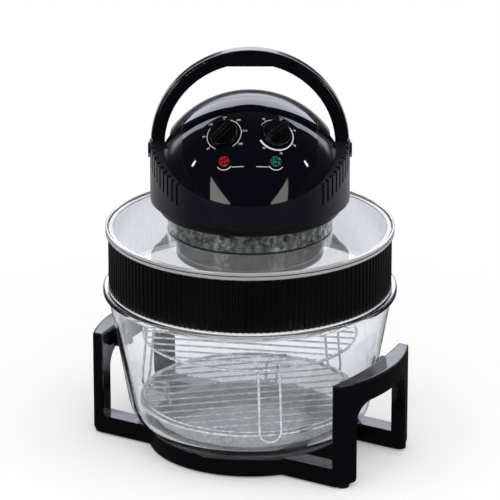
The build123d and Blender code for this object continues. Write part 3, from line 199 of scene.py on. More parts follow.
def buildCards():
    for name, (colour, strength, corners) in cards.items():
        mesh = bpy.data.meshes.new(name)
        mesh.from_pydata(corners, [], [tuple(range(len(corners)))])
        material = bpy.data.materials.new(name)
        material.use_nodes = True
        tree = material.node_tree
        tree.nodes.clear()
        glow = tree.nodes.new("ShaderNodeEmission")
        glow.inputs["Color"].default_value = (*colour, 1.0)
        glow.inputs["Strength"].default_value = strength
        output = tree.nodes.new("ShaderNodeOutputMaterial")
        tree.links.new(glow.outputs[0], output.inputs["Surface"])
        mesh.materials.append(material)
        card = bpy.data.objects.new(name, mesh)
        bpy.context.scene.collection.objects.link(card)
        card.visible_camera = card.visible_diffuse = False
        card.visible_transmission = card.visible_shadow = False


def buildWorld():
    world = bpy.data.worlds.new("studioAir")
    bpy.context.scene.world = world
    world.cycles.sampling_method = "NONE"
    world.use_nodes = True
    tree = world.node_tree
    tree.nodes.clear()
    output = tree.nodes.new("ShaderNodeOutputWorld")
    path = tree.nodes.new("ShaderNodeLightPath")
    place = tree.nodes.new("ShaderNodeTexCoord")
    parts = tree.nodes.new("ShaderNodeSeparateXYZ")
    tree.links.new(place.outputs["Generated"], parts.inputs[0])
    front, back = studio["mirrorFront"], studio["mirrorBack"]
    backness = addRange(tree, parts.outputs["Y"], *studio["mirrorTurn"], front, back)
    ambient = tree.nodes.new("ShaderNodeBackground")
    ambient.inputs["Strength"].default_value = studio["ambient"]
    mirrored = tree.nodes.new("ShaderNodeBackground")
    tree.links.new(backness, mirrored.inputs["Strength"])
    white = tree.nodes.new("ShaderNodeBackground")
    for air in (ambient, mirrored, white):
        air.inputs["Color"].default_value = (1, 1, 1, 1)
    glossMix = tree.nodes.new("ShaderNodeMixShader")
    seenMix = tree.nodes.new("ShaderNodeMixShader")
    seen = addMath(tree, "MAXIMUM", path.outputs["Is Camera Ray"], path.outputs["Is Transmission Ray"])
    tree.links.new(path.outputs["Is Glossy Ray"], glossMix.inputs[0])
    tree.links.new(ambient.outputs[0], glossMix.inputs[1])
    tree.links.new(mirrored.outputs[0], glossMix.inputs[2])
    tree.links.new(seen, seenMix.inputs[0])
    tree.links.new(glossMix.outputs[0], seenMix.inputs[1])
    tree.links.new(white.outputs[0], seenMix.inputs[2])
    tree.links.new(seenMix.outputs[0], output.inputs["Surface"])


def buildFloor():
    mesh = bpy.data.meshes.new("worktop")
    reach = studio["floorReach"]
    corners = [(-reach, -reach, 0), (reach, -reach, 0), (reach, reach, 0), (-reach, reach, 0)]
    mesh.from_pydata(corners, [], [(0, 1, 2, 3)])
    floor = bpy.data.objects.new("worktop", mesh)
    bpy.context.scene.collection.objects.link(floor)
    material = bpy.data.materials.new("worktopPaper")
    material.use_nodes = True
    tree = material.node_tree
    tree.nodes.clear()
    output = tree.nodes.new("ShaderNodeOutputMaterial")
    paper = tree.nodes.new("ShaderNodeBsdfDiffuse")
    paper.inputs["Color"].default_value = studio["floorTone"]
    glow = tree.nodes.new("ShaderNodeEmission")
    white = tree.nodes.new("ShaderNodeEmission")
    mirrored = tree.nodes.new("ShaderNodeEmission")
    path = tree.nodes.new("ShaderNodeLightPath")
    seen = addMath(tree, "MAXIMUM", path.outputs["Is Camera Ray"], path.outputs["Is Transmission Ray"])
    tree.links.new(addMath(tree, "MULTIPLY", seen, studio["floorGlow"]), glow.inputs["Strength"])
    lit = tree.nodes.new("ShaderNodeAddShader")
    tree.links.new(paper.outputs[0], lit.inputs[0])
    tree.links.new(glow.outputs[0], lit.inputs[1])
    place = tree.nodes.new("ShaderNodeTexCoord")
    length = tree.nodes.new("ShaderNodeVectorMath")
    length.operation = "LENGTH"
    tree.links.new(place.outputs["Object"], length.inputs[0])
    parts = tree.nodes.new("ShaderNodeSeparateXYZ")
    tree.links.new(place.outputs["Object"], parts.inputs[0])
    fade = addRange(tree, length.outputs["Value"], *studio["floorFade"])
    whiten = tree.nodes.new("ShaderNodeMixShader")
    tree.links.new(addMath(tree, "MULTIPLY", fade, seen), whiten.inputs[0])
    tree.links.new(lit.outputs[0], whiten.inputs[1])
    tree.links.new(white.outputs[0], whiten.inputs[2])
    far = addRange(tree, length.outputs["Value"], *studio["floorMirrorReach"])
    behind = addRange(tree, parts.outputs["Y"], *studio["floorMirrorBehind"])
    near, rise = studio["floorMirrorNear"], studio["floorMirrorFar"] - studio["floorMirrorNear"]
    shown = addMath(tree, "MULTIPLY_ADD", addMath(tree, "MULTIPLY", far, behind), rise, near)
    tree.links.new(shown, mirrored.inputs["Strength"])
    mix = tree.nodes.new("ShaderNodeMixShader")
    reflected = addMath(tree, "SUBTRACT", path.outputs["Is Glossy Ray"], seen, clamp=True)
    tree.links.new(reflected, mix.inputs[0])
    tree.links.new(whiten.outputs[0], mix.inputs[1])
    tree.links.new(mirrored.outputs[0], mix.inputs[2])
    tree.links.new(mix.outputs[0], output.inputs["Surface"])
    mesh.materials.append(material)


buildLamps()
buildCards()
buildWorld()
buildFloor()
bpy.context.scene.view_settings.view_transform = "Standard"
print("studio lit")


spans = {
    # the levels between which each noise or angle takes effect
    "patch": (0.3, 0.7),
    "lineShade": (0.25, 0.75),
    "edgeTurn": (0.985, 0.88),  # cosine between the rounded and the plain normal
    "edgeBreak": (0.38, 0.62),
    "upward": (0.5, 1.0),
    "speck": (0.5, 0.8),
    "smear": (0.45, 0.75),
    "wireSpot": (0.42, 0.62),
    "lensFacet": (0.0, 0.7),
    "stain": (0.35, 0.75),
    "whole": (0.0, 1.0),
}


def mouldedSkin():
    # fine grain of a mould, with a roughness that drifts in patches
    group, given, result = newGroup(
        "mouldedSkin",
        {"Grain Scale": 900.0, "Patch Scale": 18.0, "Rough Low": 0.2, "Rough High": 0.3},
        ("Height", "Roughness"),
    )
    grain = addNoise(group, given.outputs["Grain Scale"], detail=2.0)
    patch = addNoise(group, given.outputs["Patch Scale"], detail=4.0)
    low, high = given.outputs["Rough Low"], given.outputs["Rough High"]
    rough = addRange(group, patch, *spans["patch"], low, high)
    group.links.new(grain, result.inputs["Height"])
    group.links.new(rough, result.inputs["Roughness"])
    return group


def turnedLines():
    # tool lines round the oven's axis, or upright ones, from a seamless noise on the cylinder; on the skirt
    # the same noise, coarse, gives the painted reflection mottle
    group, given, result = newGroup(
        "turnedLines",
        {
            "Across Scale": 3000.0, "Up Scale": 3000.0, "Around Scale": 2.0,
            "Rough Low": 0.2, "Rough High": 0.35,
        },
        ("Height", "Roughness", "Shade"),
    )
    place = group.nodes.new("ShaderNodeTexCoord")
    parts = group.nodes.new("ShaderNodeSeparateXYZ")
    group.links.new(place.outputs["Object"], parts.inputs[0])
    flat = group.nodes.new("ShaderNodeCombineXYZ")
    group.links.new(parts.outputs["X"], flat.inputs["X"])
    group.links.new(parts.outputs["Y"], flat.inputs["Y"])
    length = group.nodes.new("ShaderNodeVectorMath")
    length.operation = "LENGTH"
    group.links.new(flat.outputs[0], length.inputs[0])
    outward = group.nodes.new("ShaderNodeVectorMath")
    outward.operation = "NORMALIZE"
    group.links.new(flat.outputs[0], outward.inputs[0])
    outParts = group.nodes.new("ShaderNodeSeparateXYZ")
    group.links.new(outward.outputs[0], outParts.inputs[0])
    across = addMath(group, "MULTIPLY", length.outputs["Value"], given.outputs["Across Scale"])
    line = addMath(group, "MULTIPLY_ADD", parts.outputs["Z"], given.outputs["Up Scale"], across)
    spread = group.nodes.new("ShaderNodeCombineXYZ")
    around = given.outputs["Around Scale"]
    group.links.new(addMath(group, "MULTIPLY", outParts.outputs["X"], around), spread.inputs["X"])
    group.links.new(addMath(group, "MULTIPLY", outParts.outputs["Y"], around), spread.inputs["Y"])
    group.links.new(line, spread.inputs["Z"])
    lines = addNoise(group, 1.0, spread.outputs[0], detail=3.0, roughness=0.7)
    low, high = given.outputs["Rough Low"], given.outputs["Rough High"]
    rough = addRange(group, lines, *spans["patch"], low, high)
    group.links.new(lines, result.inputs["Height"])
    group.links.new(rough, result.inputs["Roughness"])
    group.links.new(addRange(group, lines, *spans["lineShade"]), result.inputs["Shade"])
    return group


def wornAndHighlitEdge():
    # a mask that is 1 along convex edges and breaks up with noise, and the normal that rounds them; the mask
    # lightens edges as wear, and on the knobs as painted highlight
    group, given, result = newGroup("wornAndHighlitEdge", {"Width": 0.6 * mm, "Break Scale": 160.0}, ("Mask",))
    group.interface.new_socket("Normal", in_out="OUTPUT", socket_type="NodeSocketVector")
    bevel = group.nodes.new("ShaderNodeBevel")
    bevel.samples = 4
    group.links.new(given.outputs["Width"], bevel.inputs["Radius"])
    shape = group.nodes.new("ShaderNodeNewGeometry")
    facing = group.nodes.new("ShaderNodeVectorMath")
    facing.operation = "DOT_PRODUCT"
    group.links.new(bevel.outputs[0], facing.inputs[0])
    group.links.new(shape.outputs["Normal"], facing.inputs[1])
    turned = addRange(group, facing.outputs["Value"], *spans["edgeTurn"])
    breaks = addNoise(group, given.outputs["Break Scale"], detail=4.0)
    broken = addRange(group, breaks, *spans["edgeBreak"])
    group.links.new(addMath(group, "MULTIPLY", turned, broken), result.inputs["Mask"])
    group.links.new(bevel.outputs[0], result.inputs["Normal"])
    return group


def settledDust():
    # a mask on faces that look up, thin and uneven
    group, given, result = newGroup("settledDust", {"Speck Scale": 700.0, "Amount": 0.1}, ("Mask",))
    shape = group.nodes.new("ShaderNodeNewGeometry")
    parts = group.nodes.new("ShaderNodeSeparateXYZ")
    group.links.new(shape.outputs["Normal"], parts.inputs[0])
    upward = addRange(group, parts.outputs["Z"], *spans["upward"])
    speckle = addNoise(group, given.outputs["Speck Scale"], detail=6.0, roughness=0.75)
    specks = addRange(group, speckle, *spans["speck"])
    veil = addMath(group, "MULTIPLY", upward, specks)
    group.links.new(addMath(group, "MULTIPLY", veil, given.outputs["Amount"]), result.inputs["Mask"])
    return group


cloth = {"turn": (0.3, 0.2, 0.6), "stretch": (1.0, 3.2, 2.0), "waver": 0.8}


def wipeMarks():
    # long faint smears left by a cloth, as a mask
    group, given, result = newGroup("wipeMarks", {"Smear Scale": 14.0, "Amount": 0.2}, ("Mask",))
    place = group.nodes.new("ShaderNodeTexCoord")
    stretch = group.nodes.new("ShaderNodeMapping")
    stretch.inputs["Rotation"].default_value = cloth["turn"]
    stretch.inputs["Scale"].default_value = cloth["stretch"]
    group.links.new(place.outputs["Object"], stretch.inputs["Vector"])
    scale, waver = given.outputs["Smear Scale"], cloth["waver"]
    smears = addNoise(group, scale, stretch.outputs[0], detail=6.0, distortion=waver)
    mask = addRange(group, smears, *spans["smear"])
    group.links.new(addMath(group, "MULTIPLY", mask, given.outputs["Amount"]), result.inputs["Mask"])
    return group


groups = {build.__name__: build() for build in (mouldedSkin, turnedLines, wornAndHighlitEdge, settledDust, wipeMarks)}
print("finish groups built")


def newMaterial(name, sockets):
    material = bpy.data.materials.new(name)
    material.use_nodes = True
    tree = material.node_tree
    shader = tree.nodes["Principled BSDF"]
    for socket, value in sockets.items():
        shader.inputs[socket].default_value = value
    return material, tree, shader


def addGroup(tree, name, values):
    node = tree.nodes.new("ShaderNodeGroup")
    node.node_tree = groups[name]
    for socket, value in values.items():
        node.inputs[socket].default_value = value
    return node


def addBump(tree, shader, height, distance, under=None):
    # under is the normal that the bump starts from
    bump = tree.nodes.new("ShaderNodeBump")
    bump.inputs["Distance"].default_value = distance
    tree.links.new(height, bump.inputs["Height"])
    if under:
        tree.links.new(under, bump.inputs["Normal"])
    tree.links.new(bump.outputs[0], shader.inputs["Normal"])


def addMix(tree, mask, first, second):
    # first and second are colours or other nodes' outputs
    node = tree.nodes.new("ShaderNodeMix")
    node.data_type = "RGBA"
    tree.links.new(mask, node.inputs["Factor"])
    for socket, term in ((node.inputs[6], first), (node.inputs[7], second)):
        if isinstance(term, tuple):
            socket.default_value = term
        else:
            tree.links.new(term, socket)
    return node.outputs[2]


plainPlastic = {
    # what a plastic has unless its own entry says otherwise; widths and depths in millimetres
    "coat": 0.0, "coatRough": 0.03, "grain": 900.0, "depth": 0.01, "edge": 0.5, "wearAndHighlight": 0.25, "wipe": 0.1,
}
dust = {"amount": 0.05, "colour": fromScreen(150, 148, 142), "dulling": 0.6}


def mouldedPlastic(name, values):
    # gloss or satin plastic and rubber: grain, edges lighter as wear and, on the knobs, as painted highlight,
    # a trace of dust and cloth marks
    values = {**plainPlastic, **values}
    sockets = {"Coat Weight": values["coat"], "Coat Roughness": values["coatRough"]}
    material, tree, shader = newMaterial(name, sockets)
    low, high = values["rough"]
    skinValues = {"Rough Low": low, "Rough High": high, "Grain Scale": values["grain"]}
    skin = addGroup(tree, "mouldedSkin", skinValues)
    wearAndHighlight = addGroup(tree, "wornAndHighlitEdge", {"Width": values["edge"] * mm})
    veil = addGroup(tree, "settledDust", {"Amount": dust["amount"]})
    wipe = addGroup(tree, "wipeMarks", {"Amount": values["wipe"]})
    wearAndHighlightAmount = addMath(tree, "MULTIPLY", wearAndHighlight.outputs["Mask"], values["wearAndHighlight"])
    wornAndHighlitColour = addMix(tree, wearAndHighlightAmount, values["colour"], values["edgeColour"])
    dusty = addMix(tree, veil.outputs["Mask"], wornAndHighlitColour, dust["colour"])
    tree.links.new(dusty, shader.inputs["Base Color"])
    rough = addMath(tree, "ADD", skin.outputs["Roughness"], wipe.outputs["Mask"])
    dulled = addMath(tree, "MULTIPLY_ADD", veil.outputs["Mask"], dust["dulling"], rough, clamp=True)
    tree.links.new(dulled, shader.inputs["Roughness"])
    addBump(tree, shader, skin.outputs["Height"], values["depth"] * mm, wearAndHighlight.outputs["Normal"])
    if values["coat"]:
        tree.links.new(wearAndHighlight.outputs["Normal"], shader.inputs["Coat Normal"])
    return material


plainSteel = {
    # what a steel has unless its own entry says otherwise; edge, depth and wave in millimetres
    "metal": 1.0, "across": 3000.0, "up": 3000.0, "around": 2.0, "depth": 0.004, "edge": 0.3, "wipe": 0.06,
    "wave": 0.0, "waves": 60.0,
}


def turnedSteel(name, values):
    # steel and chrome with tool lines round the axis or upright; on the skirt the dark and light tint is
    # painted reflection
    values = {**plainSteel, **values}
    material, tree, shader = newMaterial(name, {"Metallic": values["metal"]})
    low, high = values["rough"]
    lines = addGroup(tree, "turnedLines", {
        "Across Scale": values["across"],
        "Up Scale": values["up"],
        "Around Scale": values["around"],
        "Rough Low": low,
        "Rough High": high,
    })
    wipe = addGroup(tree, "wipeMarks", {"Amount": values["wipe"]})
    # tint between dark and light: the tone of the tool lines, and on the skirt a painted reflection of the
    # dark room and bright sheets
    tint = addMix(tree, lines.outputs["Shade"], values["dark"], values["light"])
    tree.links.new(tint, shader.inputs["Base Color"])
    rough = addMath(tree, "ADD", lines.outputs["Roughness"], wipe.outputs["Mask"], clamp=True)
    tree.links.new(rough, shader.inputs["Roughness"])
    rounded = addGroup(tree, "wornAndHighlitEdge", {"Width": values["edge"] * mm})
    waves = tree.nodes.new("ShaderNodeBump")
    waves.inputs["Distance"].default_value = values["wave"] * mm
    tree.links.new(rounded.outputs["Normal"], waves.inputs["Normal"])
    tree.links.new(addNoise(tree, values["waves"], detail=2.0), waves.inputs["Height"])
    addBump(tree, shader, lines.outputs["Height"], values["depth"] * mm, waves.outputs[0])
    return material


drawing = {"grain": 2600.0, "patch": 60.0, "spots": 240.0, "depth": 0.004}


def drawnWire(name, values):
    # chromed or plain wire: bright, with slight drawing marks and dull spots
    material, tree, shader = newMaterial(name, {"Metallic": values["metal"]})
    low, high = values["rough"]
    skin = addGroup(tree, "mouldedSkin", {
        "Grain Scale": drawing["grain"],
        "Patch Scale": drawing["patch"],
        "Rough Low": low,
        "Rough High": high,
    })
    spots = addRange(tree, addNoise(tree, drawing["spots"], detail=5.0), *spans["wireSpot"])
    tree.links.new(addMix(tree, spots, values["dark"], values["light"]), shader.inputs["Base Color"])
    tree.links.new(skin.outputs["Roughness"], shader.inputs["Roughness"])
    addBump(tree, shader, skin.outputs["Height"], drawing["depth"] * mm)
    return material


glazing = {"bend": 1.47, "passing": 0.94, "wipe": 0.05, "smear": 9.0, "waves": 22.0}


def clearGlass(name, values):
    # clear glass that lets the lamps' light through, with pressed waviness and faint cloth marks
    sockets = {"Base Color": values["tint"], "Transmission Weight": 1.0, "IOR": glazing["bend"]}
    material, tree, shader = newMaterial(name, sockets)
    wipe = addGroup(tree, "wipeMarks", {"Amount": glazing["wipe"], "Smear Scale": glazing["smear"]})
    tree.links.new(wipe.outputs["Mask"], shader.inputs["Roughness"])
    waves = addNoise(tree, glazing["waves"], detail=1.0)
    addBump(tree, shader, waves, values["wave"] * mm)
    path = tree.nodes.new("ShaderNodeLightPath")
    lightRay = addMath(tree, "MAXIMUM", path.outputs["Is Shadow Ray"], path.outputs["Is Diffuse Ray"])
    passing = addMath(tree, "MULTIPLY_ADD", lightRay, -glazing["passing"], 1.0)
    tree.links.new(passing, shader.inputs["Alpha"])
    return material


waffle = {"cells": 340.0, "uneven": 0.25, "depth": 0.3}


def signalLens(name, values):
    # coloured clear plastic with a pressed waffle behind a glossy face; each facet is painted lighter at its
    # middle and darker at its rim as painted highlight and shade
    sockets = {
        "Transmission Weight": 0.45, "IOR": 1.49, "Roughness": 0.12,
        "Coat Weight": 0.6, "Coat Roughness": 0.04,
    }
    material, tree, shader = newMaterial(name, sockets)
    place = tree.nodes.new("ShaderNodeTexCoord")
    cells = tree.nodes.new("ShaderNodeTexVoronoi")
    cells.inputs["Scale"].default_value = waffle["cells"]
    cells.inputs["Randomness"].default_value = waffle["uneven"]
    tree.links.new(place.outputs["Object"], cells.inputs["Vector"])
    facets = addRange(tree, cells.outputs["Distance"], *spans["lensFacet"])
    # facet colour: light in each cell's middle and dark at its rim, painted highlight and shade of light
    # through the facets
    tree.links.new(addMix(tree, facets, values["light"], values["dark"]), shader.inputs["Base Color"])
    addBump(tree, shader, facets, waffle["depth"] * mm)
    return material


def woundCopper(name, values):
    # enamelled wire, turn beside turn, painted darker between the turns as painted shade and lighter on their
    # crowns as painted highlight
    material, tree, shader = newMaterial(name, {"Metallic": 1.0, "Coat Weight": 0.5, "Coat Roughness": 0.2})
    place = tree.nodes.new("ShaderNodeTexCoord")
    turns = tree.nodes.new("ShaderNodeTexWave")
    turns.bands_direction = "X"
    turns.inputs["Scale"].default_value = values["turns"]
    turns.inputs["Distortion"].default_value = values["uneven"]
    turns.inputs["Detail"].default_value = 1.0
    tree.links.new(place.outputs["Object"], turns.inputs["Vector"])
    # dark between the turns is painted shade, light on their crowns is painted highlight
    wound = addMix(tree, turns.outputs["Fac"], values["dark"], values["light"])
    tree.links.new(wound, shader.inputs["Base Color"])
    rough = addRange(tree, turns.outputs["Fac"], *spans["whole"], *values["rough"])
    tree.links.new(rough, shader.inputs["Roughness"])
    addBump(tree, shader, turns.outputs["Fac"], values["depth"] * mm)
    return material


def firedCeramic(name, values):
    # dry off-white ceramic with pits and a few stained grains
    material, tree, shader = newMaterial(name, {"Specular IOR Level": 0.35})
    grains = addNoise(tree, values["grain"], detail=6.0, roughness=0.7)
    stains = addRange(tree, addNoise(tree, values["stain"], detail=4.0), *spans["stain"])
    tree.links.new(addMix(tree, stains, values["light"], values["dark"]), shader.inputs["Base Color"])
    rough = addRange(tree, grains, *spans["patch"], *values["rough"])
    tree.links.new(rough, shader.inputs["Roughness"])
    addBump(tree, shader, grains, values["depth"] * mm)
    return material


def panelPrint(name, values):
    # screen-printed ink, a little uneven
    material, tree, shader = newMaterial(name, {"Specular IOR Level": 0.3})
    patch = addRange(tree, addNoise(tree, values["grain"], detail=3.0), *spans["patch"])
    tree.links.new(addMix(tree, patch, values["dark"], values["light"]), shader.inputs["Base Color"])
    rough = addRange(tree, patch, *spans["whole"], *values["rough"])
    tree.links.new(rough, shader.inputs["Roughness"])
    return material


blackEdge = fromScreen(66, 67, 76)
plastics = {
    "base_black": {
        "colour": fromScreen(15, 15, 19), "rough": (0.1, 0.18), "edgeColour": blackEdge, "grain": 380.0,
        "edge": 0.8, "wearAndHighlight": 0.12, "coat": 0.5,
    },
    "foot_rubber": {
        "colour": fromScreen(26, 26, 27), "rough": (0.65, 0.85), "edgeColour": blackEdge, "depth": 0.05,
    },
    "pad_silicone": {
        "colour": fromScreen(70, 71, 74), "rough": (0.45, 0.6), "edgeColour": fromScreen(110, 110, 114),
    },
    "band_black": {
        "colour": fromScreen(16, 16, 18), "rough": (0.3, 0.42), "edgeColour": fromScreen(58, 58, 60),
        "edge": 0.3,
    },
    "body_black": {"colour": fromScreen(20, 20, 24), "rough": (0.22, 0.34), "edgeColour": blackEdge},
    "collar_black": {
        "colour": fromScreen(26, 26, 36), "rough": (0.16, 0.26), "edgeColour": blackEdge, "edge": 0.7,
        "coat": 0.3, "coatRough": 0.15,
    },
    "dome_black": {
        "colour": fromScreen(16, 16, 24), "rough": (0.14, 0.22), "edgeColour": blackEdge, "grain": 260.0,
        "coat": 0.3, "coatRough": 0.12, "wipe": 0.05,
    },
    "fascia_black": {
        "colour": fromScreen(14, 14, 22), "rough": (0.03, 0.06), "edgeColour": blackEdge, "grain": 260.0,
        "coat": 0.6, "wipe": 0.03, "depth": 0.002,
    },
    "control_plastic": {
        "colour": fromScreen(196, 190, 176), "rough": (0.4, 0.6), "edgeColour": fromScreen(220, 216, 205),
    },
    "plunger_plastic": {
        "colour": fromScreen(178, 36, 30), "rough": (0.3, 0.4), "edgeColour": fromScreen(205, 90, 80),
    },
    "gland_rubber": {
        "colour": fromScreen(26, 26, 27), "rough": (0.6, 0.8), "edgeColour": blackEdge, "depth": 0.04,
    },
    "handle_black": {
        "colour": fromScreen(14, 14, 20), "rough": (0.1, 0.17), "edgeColour": blackEdge, "grain": 380.0,
        "coat": 0.5, "wearAndHighlight": 0.12,
    },
    # knobs: the pale edge colour, laid on strongly, is painted highlight along the grip edges as well as edge
    # wear
    "knob_black": {
        "colour": fromScreen(9, 9, 12), "rough": (0.16, 0.26), "edgeColour": fromScreen(128, 130, 130),
        "edge": 0.7, "wearAndHighlight": 0.6,
    },
}
steels = {
    "screw_steel": {
        "dark": fromScreen(158, 158, 160), "light": fromScreen(205, 205, 208), "rough": (0.25, 0.4),
        "around": 30.0,
    },
    "liner_steel": {
        "dark": fromScreen(130, 127, 123), "light": fromScreen(182, 180, 176), "rough": (0.22, 0.36),
        "across": 0.0, "up": 30.0, "around": 420.0, "wave": 0.05, "waves": 16.0,
    },
    # rim: a pale colour at less than full metal stands in for the bright reflection of a white tent, a
    # painted reflection
    "rim_chrome": {
        "dark": fromScreen(206, 206, 209), "light": fromScreen(236, 236, 239), "rough": (0.06, 0.14),
        "edge": 0.8, "metal": 0.45,
    },
    "edge_steel": {
        "dark": fromScreen(190, 187, 178), "light": fromScreen(222, 219, 210), "rough": (0.16, 0.26),
        "edge": 0.4, "metal": 0.6,
    },
    # skirt: the greenish-black dark and the pale light are painted reflection, mottled patches of the room
    # and sheets painted into the chrome
    "skirt_chrome": {
        "dark": fromScreen(12, 19, 19), "light": fromScreen(196, 208, 206), "rough": (0.05, 0.12),
        "across": 0.0, "up": 130.0, "around": 15.0, "depth": 0.8, "wave": 2.6, "waves": 45.0,
    },
    "pan_steel": {
        "dark": fromScreen(196, 196, 198), "light": fromScreen(232, 232, 234), "rough": (0.12, 0.24),
        "wave": 0.2, "waves": 40.0,
    },
    "bracket_steel": {
        "dark": fromScreen(140, 140, 143), "light": fromScreen(188, 188, 190), "rough": (0.3, 0.45),
        "around": 12.0,
    },
    "bearing_bronze": {
        "dark": fromScreen(150, 112, 62), "light": fromScreen(202, 160, 96), "rough": (0.25, 0.4),
    },
    "fan_aluminium": {
        "dark": fromScreen(186, 187, 190), "light": fromScreen(222, 223, 226), "rough": (0.25, 0.4),
        "around": 8.0,
    },
}
wires = {
    "mesh_steel": {
        "dark": fromScreen(196, 196, 198), "light": fromScreen(238, 238, 240), "rough": (0.3, 0.45),
        "metal": 0.2,
    },
    "wire_chrome": {
        "dark": fromScreen(200, 200, 203), "light": fromScreen(238, 238, 241), "rough": (0.08, 0.16),
        "metal": 0.8,
    },
}
glasses = {
    "bowl_glass": {"tint": (0.948, 0.972, 0.994, 1.0), "wave": 0.12},
    "lid_glass": {"tint": (0.98, 0.992, 0.995, 1.0), "wave": 0.03},
    "lamp_quartz": {"tint": (0.99, 0.985, 0.97, 1.0), "wave": 0.02},
    "neon_glass": {"tint": (0.98, 0.9, 0.82, 1.0), "wave": 0.02},
}
finishes = {slot: mouldedPlastic(slot, values) for slot, values in plastics.items()}
finishes.update({slot: turnedSteel(slot, values) for slot, values in steels.items()})
finishes.update({slot: drawnWire(slot, values) for slot, values in wires.items()})
finishes.update({slot: clearGlass(slot, values) for slot, values in glasses.items()})
# lens colours: light is the painted facet highlight, dark the painted facet shade
lensColours = {
    "red_lens": {"dark": fromScreen(118, 4, 10), "light": fromScreen(244, 72, 62)},
    "green_lens": {"dark": fromScreen(2, 62, 46), "light": fromScreen(70, 186, 140)},
}
finishes.update({slot: signalLens(slot, values) for slot, values in lensColours.items()})
finishes["coil_copper"] = woundCopper("coil_copper", {
    "dark": fromScreen(110, 52, 24), "light": fromScreen(214, 128, 74), "rough": (0.45, 0.25),
    "turns": 320.0, "uneven": 0.6, "depth": 0.25,
})
finishes["holder_ceramic"] = firedCeramic("holder_ceramic", {
    "dark": fromScreen(196, 184, 160), "light": fromScreen(228, 224, 212), "rough": (0.55, 0.8),
    "grain": 420.0, "stain": 60.0, "depth": 0.08,
})
inkWhite = panelPrint("panel_ink", {
    "dark": fromScreen(196, 198, 200), "light": fromScreen(240, 241, 242), "rough": (0.4, 0.55),
    "grain": 900.0,
})

for part in frame["record"]["subparts"]:
    piece = nodes[part["node"]]
    piece.data.materials.clear()
    piece.data.materials.append(finishes[part["material_slot"]])
print("CAD pieces finished")


weldGap = 0.0005 * mm  # points closer than this become one


def addPiece(name, verts, faces, material, body, smoothAngle=40.0):
    # faces that meet at more than smoothAngle degrees keep a sharp edge
    mesh = bpy.data.meshes.new(name)
    mesh.from_pydata(verts, [], faces)
    work = bmesh.new()
    work.from_mesh(mesh)
    bmesh.ops.remove_doubles(work, verts=work.verts, dist=weldGap)
    bmesh.ops.recalc_face_normals(work, faces=work.faces)
    work.to_mesh(mesh)
    work.free()
    for face in mesh.polygons:
        face.use_smooth = True
    mesh.set_sharp_from_angle(angle=radians(smoothAngle))
    mesh.materials.append(material)
    piece = bpy.data.objects.new(name, mesh)
    bpy.context.scene.collection.objects.link(piece)
    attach(piece, body)
    return piece


def roundedProfile(corners, steps=8):
    # corners are (out, up, rounding) in millimetres; gives the outline's points in metres
    outline = []
    for number, (out, up, rounding) in enumerate(corners):
        here = Vector((out, up))
        if not rounding:
            outline.append(here * mm)
            continue
        back = (Vector(corners[number - 1][:2]) - here).normalized()
        ahead = (Vector(corners[(number + 1) % len(corners)][:2]) - here).normalized()
        half = back.angle(ahead) / 2
        centre = here + (back + ahead).normalized() * rounding / sin(half)
        start = here + back * rounding / tan(half) - centre
        end = here + ahead * rounding / tan(half) - centre
        for step in range(steps + 1):
            outline.append((centre + start.slerp(end, step / steps) * rounding) * mm)
    return outline


def latheMesh(outline, closed, segments):
    verts, faces = [], []
    count = len(outline)
    for segment in range(segments):
        turn = 2 * pi * segment / segments
        verts += [(point.x * cos(turn), point.x * sin(turn), point.y) for point in outline]
    for segment in range(segments):
        here, there = segment * count, (segment + 1) % segments * count
        for number in range(count if closed else count - 1):
            after = (number + 1) % count
            faces.append((here + number, there + number, there + after, here + after))
    return verts, faces


def addTube(verts, faces, points, radius, sides):
    # a round wire through the points, closed at both ends
    start, last = len(verts), len(points) - 1
    for number, point in enumerate(points):
        along = (points[min(number + 1, last)] - points[max(number - 1, 0)]).normalized()
        aside = along.cross(Vector((0, 0, 1)))
        aside = aside.normalized() if aside.length > 0.01 else Vector((1, 0, 0))  # where it runs upright
        above = aside.cross(along)
        for side in range(sides):
            turn = 2 * pi * (side + 0.5) / sides
            verts.append(point + (aside * cos(turn) + above * sin(turn)) * radius)
    for number in range(last):
        here, there = start + number * sides, start + (number + 1) * sides
        for side in range(sides):
            after = (side + 1) % sides
            faces.append((here + side, here + after, there + after, there + side))
    faces.append(tuple(start + side for side in reversed(range(sides))))
    faces.append(tuple(start + last * sides + side for side in range(sides)))


bowl = {
    # heights, radii out from the axis and roundings in millimetres
    "bottom": 25.5, "height": 172.0, "wall": 5.0, "slope": 10.2, "foot": 138.1, "footRound": 36.0,
    "rim": 172.98, "rimHeight": 8.0, "rimRound": 2.4, "underRimRound": 0.9, "seat": 166.5, "seatDepth": 5.0,
    "seatRound": 1.2, "ledgeRound": 0.6, "wallRound": 1.0, "segments": 256,
}


def buildBowl():
    bottom, floor, top = bowl["bottom"], bowl["bottom"] + bowl["wall"], bowl["bottom"] + bowl["height"]
    rise, across = tan(radians(bowl["slope"])), bowl["wall"] / cos(radians(bowl["slope"]))

    def wallOut(level):
        return bowl["foot"] + (level - bottom) * rise

    rimBottom, ledge, rimRound = top - bowl["rimHeight"], top - bowl["seatDepth"], bowl["rimRound"]
    outline = roundedProfile([
        (0, bottom, 0),
        (bowl["foot"], bottom, bowl["footRound"]),
        (wallOut(rimBottom), rimBottom, bowl["underRimRound"]),
        (bowl["rim"], rimBottom, rimRound),
        (bowl["rim"], top, rimRound),
        (bowl["seat"], top, bowl["seatRound"]),
        (bowl["seat"], ledge, bowl["ledgeRound"]),
        (wallOut(ledge) - across, ledge, bowl["wallRound"]),
        (wallOut(floor) - across, floor, bowl["footRound"] - bowl["wall"]),
        (0, floor, 0),
    ])
    verts, faces = latheMesh(outline, False, bowl["segments"])
    piece = addPiece("pressedGlassBowl", verts, faces, finishes["bowl_glass"], "bowl", smoothAngle=60.0)
    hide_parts("glass_bowl")


